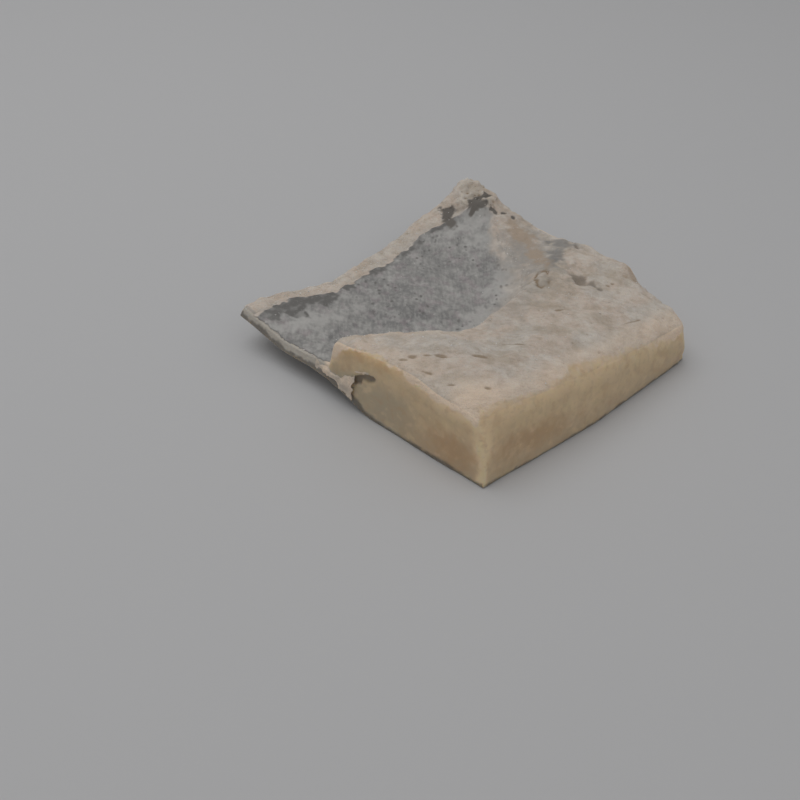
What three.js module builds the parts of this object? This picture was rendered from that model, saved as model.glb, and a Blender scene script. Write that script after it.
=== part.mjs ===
// A cut of salted, dried ling: a thick back loin that thins into a belly flap, skin side down.
// Millimetres, +Z up. X runs across the fish from the belly flap's lip (-) to the back edge (+),
// Y runs along the fish from the front cut (-) to the rear cut (+), and the skin rests on Z = 0.
import * as THREE from "three";
import { mergeVertices } from "three/addons/utils/BufferGeometryUtils.js";

// Plan of the cut
const FRONT_Y = -65.9; // plane of the front cut
const LIP_X = -71.2; // lip of the belly flap, at the front cut
const LIP_DRAWS = [ // the lip draws in twice on its way to the rear cut
  { from: 12, to: 44, by: 9 },
  { from: 97, to: 115, by: 4.6 },
];
const LIP_LENGTH = 133.5; // front cut to rear cut, along the lip
const BACK_X = 51.6; // foot of the back edge, at the front cut
const BACK_FLARE = 19.5; // the back edge swings out by this much at the rear cut
const BACK_BOW = 2.4; // and bows out by this much half way along
const BACK_LENGTH = 113.5; // front cut to rear cut, along the back edge
const REAR_ARC = 2.7; // power of the rear cut's arc between them: higher keeps it long for further
const BACK_LEAN = { front: 6.5, rear: 3 }; // the back edge leans in by this much from foot to top
const BACK_BULGE = 1.2; // and bulges by this much half way up
const CUT_LEAN = 1.6; // the front and rear cuts lean in by this much

// The step where the thick loin drops to the flap
const RIDGE_X = { front: -20, rear: 13 };
const RIDGE_TURN = 47; // the ridge has turned parallel to the back edge this far from the front cut
const STEP_RUN = { front: 3.2, middle: 9, rear: 27 }; // width of the step's slope

// Heights of the upper surface, and where along the fish they change
const EARLY_TURN = [0, 40];
const LATE_TURN = [70, 124];
const LIP_LATE_TURN = [80, 131]; // the lip stays low for longer, then curls up
const LIP_TOP = { front: 16.5, middle: 13.2, rear: 26 };
const VALLEY_TOP = { front: 13.2, middle: 11.4, rear: 18.8 };
const RIDGE_TOP = { front: 26.2, middle: 26, rear: 23 };
const BACK_TOP = { front: 32.5, rear: 20 };
const LOIN_CROWN = 1.6; // the loin's top swells by this much between its two edges
const LOIN_SHOULDER = 2.4; // power of its rise from the ridge: higher keeps the back half flatter
const BACK_ROUND = { drop: 3, run: 9 }; // and it rounds down by this much, over this run, to the back edge
const FLAP_SAG = 1.4; // the flap sags by this much between its lip and the step
const FLAP_LOW_SHARE = 0.8; // and reaches the valley's height at this share of its width

// Thickness of the flap, and how far inside the step's foot the skin side starts to lift
const LIP_THICK = 3.6;
const VALLEY_THICK = 4.8;
const LIFT_RUN = { front: 25, middle: 17, rear: 22 };
const LIFT_LEAD = 6; // and it is fully lifted this far outside the foot
const FLAP_EVEN_SHARE = 0.6; // out to this share of its width the flap is evenly thick

// Flesh relief
const CRAG_SIZE = 7; // spacing of the crags that salt and drying leave on the loin
const CRAG_HEIGHT = 0.9;
const FLAP_CRAG_SHARE = 0.45; // the lined flap is smoother than the bare loin
const BARE_SHARE = 0.15; // the loin is as craggy as it gets from this share of its width
const SWELL_SIZE = 26; // spacing of the broad swells
const SWELL_HEIGHT = 1.2;
const NOISE_SEED = 7;

// Knobs and scars on the upper surface: place on the plan, radius, height, and share of the radius that
// is level, if any
const MARKS = {
  rearKnob: { x: -47.5, along: 127.5, radius: 15, height: 3.5, level: 0.5 }, // curled rear corner
  standingFlake: { x: 30, along: 126.5, radius: 10, height: 3.8 }, // flake that stands up at the rear cut
  flakeTip: { x: 35.2, along: 125.5, radius: 5.5, height: 4.2 },
  ribStub: { x: 13.3, along: 90, radius: 4.5, height: 1.4 },
  flakeGap: { x: 25.5, along: 103, radius: 5, height: -1.8 }, // gap between two flakes
  frontShoulder: { x: 28, along: -2, radius: 16, height: -4 }, // worn edge of the front cut
  nearCorner: { x: 46.5, along: 0, radius: 16, height: -3.2 }, // worn corner by the back edge
  liningScar: { x: -4, along: 112, radius: 15, height: -1.2 }, // hollow where the lining tore away
};

// Torn tongue of lining that hangs over the front cut beside the step
const TONGUE = { x: -8, z: 9.5, halfWidth: 7, halfHeight: 6, proud: 1.8, flatShare: 0.5 };

// Facets across the fish, along it and through its thickness
const FACETS = { across: 46, along: 42, through: 8 };
const FLAP_SHARE = 0.38; // share of the facets across that the flap takes
const STEP_SHARE = 0.12; // and the step

const { lerp, smoothstep } = THREE.MathUtils;
const arch = (share) => Math.sin(Math.PI * share);

// A value that runs from front to middle to rear along the fish
function alongFish({ front, middle, rear }, along, late = LATE_TURN) {
  const early = lerp(front, middle, smoothstep(along, ...EARLY_TURN));
  return lerp(early, rear, smoothstep(along, ...late));
}

// Repeatable noise from -1 to 1: a hashed value at each lattice point, smoothly blended between them
function latticeValue(i, j) {
  let h = Math.imul(i, 374761393) + Math.imul(j, 668265263) + Math.imul(NOISE_SEED, 1442695041);
  h = Math.imul(h ^ (h >>> 13), 1274126177);
  return ((h ^ (h >>> 16)) >>> 0) / 2147483647.5 - 1;
}

function noise(x, y) {
  const i = Math.floor(x);
  const j = Math.floor(y);
  const u = smoothstep(x - i, 0, 1);
  const v = smoothstep(y - j, 0, 1);
  const near = lerp(latticeValue(i, j), latticeValue(i + 1, j), u);
  const far = lerp(latticeValue(i, j + 1), latticeValue(i + 1, j + 1), u);
  return lerp(near, far, v);
}

// The lines that the cross-section's corners follow along the fish
function lipX(along) {
  return LIP_DRAWS.reduce((x, { from, to, by }) => x + by * smoothstep(along, from, to), LIP_X);
}

const ridgeX = (along) => lerp(RIDGE_X.front, RIDGE_X.rear, smoothstep(along, 0, RIDGE_TURN));
const stepFootX = (along) => ridgeX(along) - alongFish(STEP_RUN, along);

// The back edge leans in, and bulges, as it rises from its foot (rise 0) to its top (rise 1)
function backX(along, rise) {
  const share = along / BACK_LENGTH;
  const foot = BACK_X + BACK_FLARE * share + BACK_BOW * arch(share);
  return foot - lerp(BACK_LEAN.front, BACK_LEAN.rear, share) * rise + BACK_BULGE * arch(rise);
}

// Length of the fish at a share of the width: the rear cut is a shallow arc
const lengthAt = (across) => lerp(LIP_LENGTH, BACK_LENGTH, across ** REAR_ARC);

// The zone that a share of the facets across lies in, and the share of that zone
function zoneOf(across) {
  const loinStart = FLAP_SHARE + STEP_SHARE;
  if (across < FLAP_SHARE) return { zone: "flap", share: across / FLAP_SHARE };
  if (across < loinStart) return { zone: "step", share: (across - FLAP_SHARE) / STEP_SHARE };
  return { zone: "loin", share: (across - loinStart) / (1 - loinStart) };
}

function planX({ zone, share }, along, rise) {
  if (zone === "flap") return lerp(lipX(along), stepFootX(along), share);
  if (zone === "step") return lerp(stepFootX(along), ridgeX(along), share);
  return lerp(ridgeX(along), backX(along, rise), share);
}

// Upper surface before relief: sagging flap, S-shaped step, crowned loin
function formTop({ zone, share }, along) {
  const valley = alongFish(VALLEY_TOP, along);
  const ridge = alongFish(RIDGE_TOP, along);
  const curl = smoothstep(along, ...LIP_LATE_TURN);
  if (zone === "flap") {
    const lip = alongFish(LIP_TOP, along, LIP_LATE_TURN);
    const slope = lerp(smoothstep(share, 0, FLAP_LOW_SHARE), share, curl);
    return lerp(lip, valley, slope) - FLAP_SAG * (1 - curl) * arch(share);
  }
  if (zone === "step") return lerp(valley, ridge, smoothstep(share, 0, 1));
  const back = lerp(BACK_TOP.front, BACK_TOP.rear, along / BACK_LENGTH);
  const inside = (1 - share) * (backX(along, 1) - ridgeX(along));
  const rounded = BACK_ROUND.drop * Math.max(0, 1 - inside / BACK_ROUND.run) ** 2;
  return lerp(ridge, back, 1 - (1 - share) ** LOIN_SHOULDER) + LOIN_CROWN * arch(share) - rounded;
}

// Height that a round knob, or a pit if negative, adds at a place
function markHeight({ x, along, radius, height, level = 0 }, atX, atAlong) {
  const reach = Math.hypot(atX - x, atAlong - along) / radius;
  return height * (1 - smoothstep(reach, level, 1));
}

const allMarks = (x, along) =>
  Object.values(MARKS).reduce((sum, mark) => sum + markHeight(mark, x, along), 0);

// Crags and broad swells of the upper surface
function relief({ zone, share }, x, along) {
  const bare = zone === "loin" ? smoothstep(share, 0, BARE_SHARE) : 0;
  const crag = CRAG_HEIGHT * lerp(FLAP_CRAG_SHARE, 1, bare) * noise(x / CRAG_SIZE, along / CRAG_SIZE);
  return crag + SWELL_HEIGHT * noise(x / SWELL_SIZE, along / SWELL_SIZE);
}

// Skin side: flat under the loin, lifting towards the flap and then following it
function underside({ zone, share }, along, x, top) {
  const inside = Math.max(0, x - stepFootX(along));
  const lift = 1 - smoothstep(inside, -LIFT_LEAD, alongFish(LIFT_RUN, along));
  const settled = (alongFish(VALLEY_TOP, along) - VALLEY_THICK) * lift;
  if (zone !== "flap") return settled;
  const thick = lerp(LIP_THICK, VALLEY_THICK, share);
  return lerp(top - thick, settled, smoothstep(share, FLAP_EVEN_SHARE, 1));
}

// How far the hanging tongue stands out from the front cut
function tongueProud(x, z) {
  const reach = Math.hypot((x - TONGUE.x) / TONGUE.halfWidth, (z - TONGUE.z) / TONGUE.halfHeight);
  return TONGUE.proud * (1 - smoothstep(reach, TONGUE.flatShare, 1));
}

// Carries a point of the unit block (shares across, along and through) to its place on the fish
function fishPoint(across, alongShare, rise) {
  const place = zoneOf(across);
  const along = alongShare * lengthAt(across);
  const topX = planX(place, along, 1);
  const plain = formTop(place, along) + relief(place, topX, along);
  const x = planX(place, along, rise);
  const bottom = underside(place, along, planX(place, along, 0), plain);
  const z = lerp(bottom, plain + allMarks(topX, along), rise);
  const lean = CUT_LEAN * rise * (1 - 2 * alongShare);
  const proud = alongShare === 0 ? tongueProud(x, z) : 0;
  return new THREE.Vector3(x, FRONT_Y + along + lean - proud, z);
}

// One closed block of facets, bent into the fish
function lingGeometry() {
  const block = new THREE.BoxGeometry(1, 1, 1, FACETS.across, FACETS.along, FACETS.through);
  block.deleteAttribute("normal");
  block.deleteAttribute("uv");
  const fish = mergeVertices(block);
  const points = fish.getAttribute("position");
  for (let i = 0; i < points.count; i++) {
    const p = fishPoint(points.getX(i) + 0.5, points.getY(i) + 0.5, points.getZ(i) + 0.5);
    points.setXYZ(i, p.x, p.y, p.z);
  }
  fish.computeVertexNormals();
  return fish;
}

const curedFlesh = new THREE.MeshStandardMaterial({ color: 0xd9c9b0, roughness: 0.75, metalness: 0 });

const ling = new THREE.Mesh(lingGeometry(), curedFlesh);
ling.name = "ling_piece";

const part = new THREE.Group();
part.add(ling);

export default part;
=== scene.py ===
"""Looks of one cut of salted, dried ling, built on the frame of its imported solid.

Lengths are metres and +Z is up. X runs across the fish from the belly flap's lip (-) to the back
edge (+), Y runs along it from the front cut (-) to the rear cut (+), and the skin rests on Z = 0.
The flesh, the belly lining, its torn tongues, the skin and the curing salt are surfaces worked out
with numpy on the form of the solid, and each has an operator of its own in the sidebar.
"""

import bpy
import numpy as np
from bpy.props import FloatProperty, FloatVectorProperty, IntProperty, PointerProperty
from mathutils import Matrix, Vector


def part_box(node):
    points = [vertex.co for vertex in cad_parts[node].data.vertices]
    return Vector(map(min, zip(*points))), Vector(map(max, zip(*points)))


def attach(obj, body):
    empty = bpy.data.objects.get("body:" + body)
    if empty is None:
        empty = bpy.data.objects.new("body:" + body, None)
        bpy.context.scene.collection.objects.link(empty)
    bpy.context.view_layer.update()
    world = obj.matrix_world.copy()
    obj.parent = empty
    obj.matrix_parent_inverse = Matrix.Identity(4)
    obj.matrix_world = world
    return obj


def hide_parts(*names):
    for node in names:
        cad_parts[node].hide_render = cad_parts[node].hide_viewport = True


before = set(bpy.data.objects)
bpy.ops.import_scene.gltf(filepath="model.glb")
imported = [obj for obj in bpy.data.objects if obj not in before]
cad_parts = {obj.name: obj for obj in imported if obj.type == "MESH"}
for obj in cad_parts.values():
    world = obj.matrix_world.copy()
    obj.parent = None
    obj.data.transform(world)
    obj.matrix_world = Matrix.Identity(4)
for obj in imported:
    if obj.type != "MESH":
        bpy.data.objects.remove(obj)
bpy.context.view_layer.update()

bl_info = {
    "name": "Salted dried ling",
    "version": (1, 0, 0),
    "blender": (4, 5, 0),
    "location": "3D View > Sidebar > Ling",
    "description": "Builds one cut of salted, dried ling: flesh, belly lining, skin and curing salt",
    "category": "Object",
}

MM = 0.001
NODE = "ling_piece"
BODY = "root"
LOW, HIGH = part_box(NODE)

# Where along the fish its heights change, its lip draws in, the lip's rim widens and the lining's edge
# leaves the step, in metres from the front cut
EARLY_TURN = (0.0, 40 * MM)
LATE_TURN = (70 * MM, 124 * MM)
LIP_LATE_TURN = (80 * MM, 131 * MM)
LIP_DRAWS = ((12 * MM, 44 * MM), (97 * MM, 115 * MM))
RIM_TURNS = ((22 * MM, 34 * MM), (92 * MM, 106 * MM))
TEAR_TURN = (58 * MM, 84 * MM)

# Shares of the section that the flap and the step take, from lip to back edge
FLAP_SHARE = 0.38
STEP_SHARE = 0.12
# Powers of the arcs in which the length changes over the section, and the height over the loin
LENGTH_POWER = 2.7
LOIN_POWER = 2.4
# How far the back edge's bulge reaches past its foot at the rear cut
BULGE_REACH = 0.1 * MM
# Share of the loin's crags that the flap has
FLAP_CRAGS = 0.45
NOISE_SEED = 7

# Knobs and pits of the upper surface, in millimetres: X, distance from the front cut, radius, height, and
# the share of the radius that is level
KNOBS = {
    "rear_knob": (-47.5, 127.5, 15, 3.5, 0.5),
    "standing_flake": (30, 126.5, 10, 3.8, 0),
    "flake_tip": (35.2, 125.5, 5.5, 4.2, 0),
    "rib_stub": (13.3, 90, 4.5, 1.4, 0),
    "flake_gap": (25.5, 103, 5, -1.8, 0),
    "front_shoulder": (28, -2, 16, -4, 0),
    "near_corner": (46.5, 0, 16, -3.2, 0),
    "lining_scar": (-4, 112, 15, -1.2, 0),
}

# How far the crust hangs over the top's edges, in millimetres: place along the edge (X, or distance from
# the front cut) and hang. Where it is below zero, bare flesh eats in over the top instead.
FRONT_HANG = ((-18, 3.8), (-9.4, 0.5), (-2.5, -1.9), (5.7, -0.6), (10.5, 1.7), (14.7, 3.6), (21.7, 3.6),
              (28.5, 2.8), (34, 3.1), (40.6, 3.6), (43.8, 2.2), (47, 0.0))
BACK_HANG = ((0, -0.5), (4, -1.4), (9, -1.9), (17, -0.6), (24, 0.6), (33, 0.8), (40, -1.0), (44, -1.8),
             (46.5, -5.2), (52, -4.2), (58, -2.0), (68, -1.2), (75, 0.0), (87, 1.0), (104, 3.0), (112, 3.4))
REAR_HANG = 4.0
# Half width of the crust's border on the top and on the sides, and how far noise shakes it, in
# millimetres
CRUST_BORDER = (2.0, 1.4)
CRUST_SHAKE = 1.8
# The top's crust runs whole to the rear cut, as if that were this far off
FAR_OFF = 60 * MM
# Width of the bare dark band inside the lining's lip edge, in millimetres, and how dark it is, from 0 to
# 1, by distance from the front cut
BARE_BAND = ((0, 1.5), (4, 4.8), (13, 8.4), (20, 9.6), (26, 8.0), (32, 4.4), (38, 3.2), (60, 2.8),
             (90, 3.2), (104, 2.4))
BARE_DEPTH = ((0, 0.5), (8, 0.8), (16, 1.0), (30, 1.0), (40, 0.85), (100, 0.85))

# Where the lining ends: the share of the step that it climbs in front, X of its torn edge behind the
# middle by distance from the front cut, its rear end's distance from the front cut by X, and X of that
# end's corners
LINING_CLIMB = 0.94
LINING_RIGHT = ((80, 12.0), (94, 4.5), (104, -3.0), (114, -8.0))
LINING_END = ((-50, 112), (-46, 119), (-44, 124.5), (-37, 126), (-31, 125), (-27.7, 123), (-19.4, 118),
              (-10.4, 113), (2.7, 105), (8, 102))
LINING_CORNERS = (-50 * MM, 6 * MM)

# Ovals on the plan, in millimetres: X, distance from the front cut, half length, half width, turn from X
# in degrees
# Pits on the lip and the knob, whose dark inside is painted shade
HOLLOWS = {
    "lip_upper": (-51.8, 111.4, 3.5, 2.4, 15),
    "lip_lower": (-47.2, 107.6, 4.5, 2.3, -22),
    "knob": (-42.2, 121.8, 5.2, 3.0, 98),
    "knob_crest": (-42.0, 128.6, 2.6, 1.8, 40),
    "knob_side": (-34.7, 125.0, 2.2, 1.3, 10),
    "knob_speck": (-31.5, 127.7, 1.2, 0.8, 60),
    "rear_speck": (-26.5, 128.4, 1.0, 0.7, 0),
}
# Gaps between the flakes, whose dark inside is painted shade
GAPS = {
    "flake_gap": (23.4, 104.6, 5.2, 2.6, -10),
    "flake_gap_tail": (29.6, 104.0, 4.2, 1.3, -6),
    "triangle_edge": (9.0, 125.2, 1.6, 0.7, -30),
}
PIN_SLITS = {
    "first": (8.3, 4.8, 1.4, 0.9, 40),
    "second": (9.8, 8.1, 1.6, 1.0, 40),
    "third": (13.6, 11.9, 1.8, 0.7, 40),
    "long": (17.2, 15.4, 2.7, 1.0, 40),
    "far": (27.0, 25.5, 2.6, 0.8, 40),
    "crack": (33.0, 42.8, 5.0, 0.65, 33),
    "ridge_crack": (30.7, 75.4, 2.4, 0.65, 55),
    "rear_crack": (37.4, 95.5, 2.2, 0.6, 30),
    "edge_crack": (54.5, 92.0, 5.0, 0.6, 75),
    "near_first": (19.2, 4.6, 1.9, 0.8, 20),
    "near_second": (28.9, 5.8, 1.6, 0.6, 30),
    "near_third": (39.7, 13.1, 1.2, 0.7, 40),
    "gap_speck": (34.2, 108.2, 0.9, 0.6, 0),
    "gap_speck_rear": (35.0, 110.6, 0.8, 0.6, 0),
}
TAN_STRIPS = {
    "wide": (-18.0, 121.8, 9.5, 4.4, -17),
    "narrow": (-3.0, 111.8, 12.0, 3.6, -42),
    "flake_edge": (38.0, 124.0, 4.2, 2.8, 65),
}
FILM_LEFT = {
    "rear_triangle": (1.0, 125.0, 7.4, 4.4, -10),
    "below_triangle": (4.8, 116.0, 10.0, 3.6, 115),
}
RIDGE_VEIL = (15.5, 66.0, 23.0, 7.0, 95)
SCAR_VEIL = (-6.0, 111.0, 25.0, 11.0, -35)
DUSKY = {
    "by_ring": (12.5, 102.5, 8.0, 5.0, -60),
    "rear": (30.0, 115.0, 9.0, 5.0, 20),
    "by_gap": (20.0, 91.0, 14.0, 8.0, -60),
    "by_ridge": (24.0, 75.0, 9.0, 5.0, 40),
    "middle": (38.0, 64.0, 10.0, 4.0, 40),
    "far": (46.0, 82.0, 8.0, 4.0, 40),
    "near": (34.0, 31.0, 8.0, 3.0, 40),
}
# Ovals of painted shade on the lining, where the flap sags before the step
SHADED_LINING = {
    "front": (-33.0, 21.0, 10.0, 6.0, 70),
    "middle": (-28.0, 41.0, 12.0, 6.5, 50),
    "rear": (-18.0, 55.0, 12.0, 6.0, 58),
}
FROSTED_LINING = {
    "corner": (-55.0, 3.5, 6.0, 2.6, 40),
    "front": (-47.5, 17.0, 14.0, 4.6, 62),
    "rear": (-42.0, 106.0, 6.0, 3.5, 70),
    "knob": (-38.0, 116.0, 9.0, 6.0, 30),
    "border": (-10.0, 104.0, 8.0, 3.0, -28),
    "upper": (-29.0, 109.0, 8.0, 5.0, 30),
    "step": (-6.0, 88.0, 10.0, 6.0, 100),
    "step_front": (-1.0, 67.0, 14.0, 5.0, 95),
}
RIB_RING = (12.3, 92.2, 7.0, 3.3, 124)
# Round places on the plan, in millimetres: X, distance from the front cut, and how far from there they
# start to fade and have faded
KNOB_TONE = (-46, 127, 6, 14)
KNOB_LUMPS = (-47, 126, 5, 14)
ROSY_CORNER = (44, 4, 5, 24)
# Ovals on the front cut, in millimetres: X, height, half length, half height, turn from X in degrees
# Tears in the front cut, whose dark inside is painted shade
TEARS = {
    "upper": (-4.0, 18.4, 4.4, 1.7, 25),
    "middle": (-8.0, 15.2, 3.0, 1.8, 52),
}
BROWN = {"front": (37.0, 10.0, 11.0, 6.5, 0)}
# The same on the back edge, with the distance from the front cut in place of X
BROWN_BACK = {"near": (22.0, 11.5, 18.0, 5.5, -4)}
# X of the ends of the torn tongue and of the shred above it, and the shred's height at its ends, in
# millimetres
TONGUE_ENDS = (-30.0, -9.7)
SHRED_ENDS = (-10.6, -2.8)
SHRED_HEIGHTS = (18.2, 20.8)
# Lower and upper edge of the torn tongue, and the height of the dark strip by the skin, by X. The
# strip is dark skin, and where it widens under the tongue it is painted shadow
TONGUE_LOW = ((-32, 8.2), (-27, 9.1), (-21.5, 10.5), (-18.7, 9.6), (-16.9, 7.8), (-12.8, 6.7), (-10.5, 5.6),
              (-9, 6.2))
TONGUE_HIGH = ((-32, 12.6), (-27, 12.8), (-21, 13.3), (-15.4, 14.4), (-11.5, 17.0), (-9.5, 18.4))
FRONT_STRIP = ((-70, 1.8), (-40, 2.0), (-30, 2.3), (-24, 3.4), (-20, 4.2), (-15, 3.8), (-10, 5.0),
               (-7, 3.4), (-3, 1.4), (4, 0.4), (10, 0.5), (20, 1.0), (30, 1.4), (47, 1.3))
# Direction of the muscle's grain on the plan, how far it wavers, and the place along it where it bows
# least
GRAIN = (0.77, 0.64)
GRAIN_WAVER = 2.4 * MM
GRAIN_MIDDLE = 60 * MM
# Direction of the lining's streaks on the plan
STREAKS = (0.74, 0.67)

# Masks that the finishes of flesh and lining read from their surfaces
FLESH_MASKS = ("crust", "rise", "rosy_and_lit", "dusk", "depth", "dull", "amber", "painted_glow", "brown", "pale", "ashen",
               "film", "tan", "skin_edge_and_shadow", "stain_and_shade", "hollow")
LINING_MASKS = ("dim", "frosted", "bare", "pores", "fading", "ashen", "tan", "hollow")

# Cells of the flesh across, along and through, and how many of them one cell of its underside spans
FLESH_CELLS = (250, 225, 36)
UNDER_SPAN = 5
# Cells of the lining and of the skin, across and along, and of each torn sheet
LINING_CELLS = (150, 280)
SKIN_CELLS = (150, 145)
TORN_CELLS = (64, 28)
# Power by which the layers of the flesh close up towards its top, and the share of the skin that its
# underside leaves below it
LAYER_POWER = 1.25
UNDER_SKIN = 0.35
# How often the edges are relaxed, and how far a point goes to its neighbours' mean on the flap and on the
# loin
EDGE_ROUNDS = 120
EDGE_MOVES = (0.25, 0.5)
# Lumps of the relief by where they lie, in two sizes: height and size in millimetres, and seed of the
# noise
LUMPS = {
    "all_over": ((0.04, 4.4, 31), (0.03, 2.0, 32)),
    "bare": ((0.24, 4.4, 31), (0.15, 2.0, 32)),
    "rim": ((0.4, 4.2, 33), (0.22, 1.8, 34)),
    "knob": ((1.1, 3.6, 35), (0.9, 1.7, 36)),
    "crest": ((0.5, 4.6, 39), (0.35, 2.1, 40)),
    "cuts": ((0.3, 11, 37), (0.05, 2.5, 38)),
}
# Short fibres along the grain: height, length and width in millimetres, and seed of the noise
FIBRES = ((0.14, 5.0, 1.9, 53), (0.10, 3.0, 1.2, 54))
# Height of relief from the dimmest to the palest crust, depth of slits, depth of hollows on the front cut
# and elsewhere, and the least height of the flesh over what the fish lies on
RELIEF_RANGE = 0.8 * MM
SLIT_DEPTH = 0.5 * MM
HOLLOW_DEPTHS = (1.4 * MM, 0.6 * MM)
LOWEST_FLESH = 0.2 * MM
# How far the lining's underside and its torn edges are sunk in the flesh
LINING_SUNK = 0.5 * MM
LINING_TUCK = 0.45 * MM
# Thickness of the torn tongue and of the shred
TONGUE_THICK = 0.8 * MM
SHRED_THICK = 0.6 * MM
# Shares of its length by which the skin stays inside the flesh along its edges and, with a power of the
# way out, at its corners, and how much its grid closes up towards the edges
SKIN_INSET = (0.006, 0.012)
SKIN_CORNER_POWER = 40
SKIN_CROWDING = 0.7
# Seed of the salt, how much its grains flatten, and the share of their radius by which they stand up
SALT_SEED = 5
SALT_FLAT = 0.8
SALT_PROUD = 0.25
# Rings and spokes of the floor, the radius of its middle face, how much it sweeps up beyond its flat, and
# how far it lies below the fish
FLOOR_CELLS = (64, 96)
FLOOR_HUB = 20 * MM
FLOOR_SWEEP = 0.32
FLOOR_GAP = 0.05 * MM


def linear(code):
    """Linear RGBA of an sRGB hex colour."""
    srgb = np.array([int(code[i:i + 2], 16) for i in (1, 3, 5)]) / 255
    rgb = np.where(srgb <= 0.04045, srgb / 12.92, ((srgb + 0.055) / 1.055) ** 2.4)
    return (*rgb.tolist(), 1.0)


def length(name, description, millimetres):
    """A length in the sidebar, given in millimetres and held in metres."""
    return FloatProperty(name=name, description=description, default=millimetres * MM, unit="LENGTH")


def lengths(name, description, *millimetres):
    """Lengths in the sidebar that belong together, such as at the front, the middle and the rear."""
    default = [value * MM for value in millimetres]
    return FloatVectorProperty(name=name, description=description, default=default,
                               size=len(default), unit="LENGTH")


def angle(name, description, degrees):
    """An angle in the sidebar, given in degrees and held in radians."""
    return FloatProperty(name=name, description=description, default=np.radians(degrees), subtype="ANGLE")


def tint(name, description, code):
    """A colour in the sidebar, given as sRGB hex."""
    return FloatVectorProperty(name=name, description=description, default=linear(code), size=4,
                               min=0.0, max=1.0, subtype="COLOR")


class LingSizes(bpy.types.PropertyGroup):
    """Sizes of the cut, of its skin and lining, and of the stage."""

    lip_x: FloatProperty(name="Lip", description="X of the belly flap's lip at the front cut",
                         default=LOW.x, unit="LENGTH")
    lip_draws: lengths("Lip draws", "How much the lip draws in near the front and near the rear", 9, 4.6)
    lip_length: length("Lip length", "Front cut to rear cut along the lip", 133.5)
    back_flare: length("Back flare", "How far the back edge swings out at the rear cut", 19.5)
    back_bow: length("Back bow", "How far the back edge bows out half way along", 2.4)
    back_length: length("Back length", "Front cut to rear cut along the back edge", 113.5)
    back_lean: lengths("Back lean", "Lean of the back edge at the front and the rear", 6.5, 3)
    back_bulge: length("Back bulge", "Bulge of the back edge half way up", 1.2)
    cut_lean: length("Cut lean", "Lean of the front and rear cuts", 1.6)
    ridge: lengths("Ridge", "X of the ridge at the front cut and where it has turned", -20, 13)
    ridge_turn: length("Ridge turn", "Distance from the front cut where the ridge has turned", 47)
    step_run: lengths("Step run", "Width of the step at the front, middle and rear", 3.2, 9, 27)
    lip_top: lengths("Lip height", "Height of the lip at the front, middle and rear", 16.5, 13.2, 26)
    valley_top: lengths("Valley height", "Height of the step's foot, front to rear", 13.2, 11.4, 18.8)
    ridge_top: lengths("Ridge height", "Height of the ridge at the front, middle and rear", 26.2, 26, 23)
    back_top: lengths("Back height", "Height of the back edge at the front and the rear", 32.5, 20)
    back_round: lengths("Back rounding", "Drop of the loin's top to the back edge, and its run", 3, 9)
    loin_crown: length("Loin crown", "Swell of the loin's top between its edges", 1.6)
    flap_sag: length("Flap sag", "Sag of the flap between lip and step", 1.4)
    lip_thick: length("Lip thickness", "Thickness of the flap at its lip", 3.6)
    valley_thick: length("Valley thickness", "Thickness of the flap at the step's foot", 4.8)
    lift_run: lengths("Lift run", "How far inside the step's foot the skin lifts", 25, 17, 22)
    lift_lead: length("Lift lead", "How far outside the step's foot the skin is fully lifted", 6)
    crag_size: length("Crag size", "Spacing of the crags that drying leaves on the loin", 7)
    crag_height: length("Crag height", "Height of those crags", 0.9)
    swell_size: length("Swell size", "Spacing of the broad swells", 26)
    swell_height: length("Swell height", "Height of those swells", 1.2)
    flake_spacing: length("Flake spacing", "Width of one muscle flake across its grain", 8.5)
    flake_step: length("Flake step", "Height of the step from one flake to the next", 0.3)
    grain_bow: length("Grain bow", "Twice the radius to which the grain of the muscle bows", 250)
    lip_rim: lengths("Lip rim", "Bare rim from the lip to the lining, front to rear", 6.0, 7.6, 9.5)
    edge_round: lengths("Edge rounding", "Rounding of the flap, the loin, the near corner and the foot",
                        3, 5, 8, 0.7)
    lining_proud: length("Lining proud", "How far the lining stands above the flesh", 0.35)
    skin_thick: length("Skin thickness", "Thickness of the dried skin", 1.2)
    grain_size: length("Salt grain", "Size of a common salt grain", 0.3)
    grain_count: IntProperty(name="Salt grains", description="Grains of curing salt that are strewn",
                             default=12000)
    floor_radius: length("Floor radius", "Radius of the floor with its backdrop", 3200)
    floor_flat: length("Flat floor", "Radius to which the floor stays flat", 900)
    lamp_place: lengths("Lamp place", "Middle of the soft lamp", -350, -100, 1000)
    lamp_size: length("Lamp size", "Width of the soft lamp", 900)
    lamp_power: FloatProperty(name="Lamp power", description="Power of the soft lamp",
                              default=2.6, unit="POWER")
    room_light: FloatProperty(name="Room light", description="Strength of the light from all round",
                              default=0.4)
    camera_place: lengths("Camera place", "Camera from the near foot of the front cut",
                          109.9, -187.8, 234.0)
    camera_azimuth: angle("Azimuth", "Turn of the camera about the upright", 38.36)
    camera_elevation: angle("Elevation", "Height of the camera over the horizon", 41.98)
    camera_roll: angle("Roll", "Turn of the camera about its own axis", 2.49)
    camera_lens: FloatProperty(name="Lens", description="Focal length on a 36 mm wide picture",
                               default=40.71, unit="CAMERA")


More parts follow.
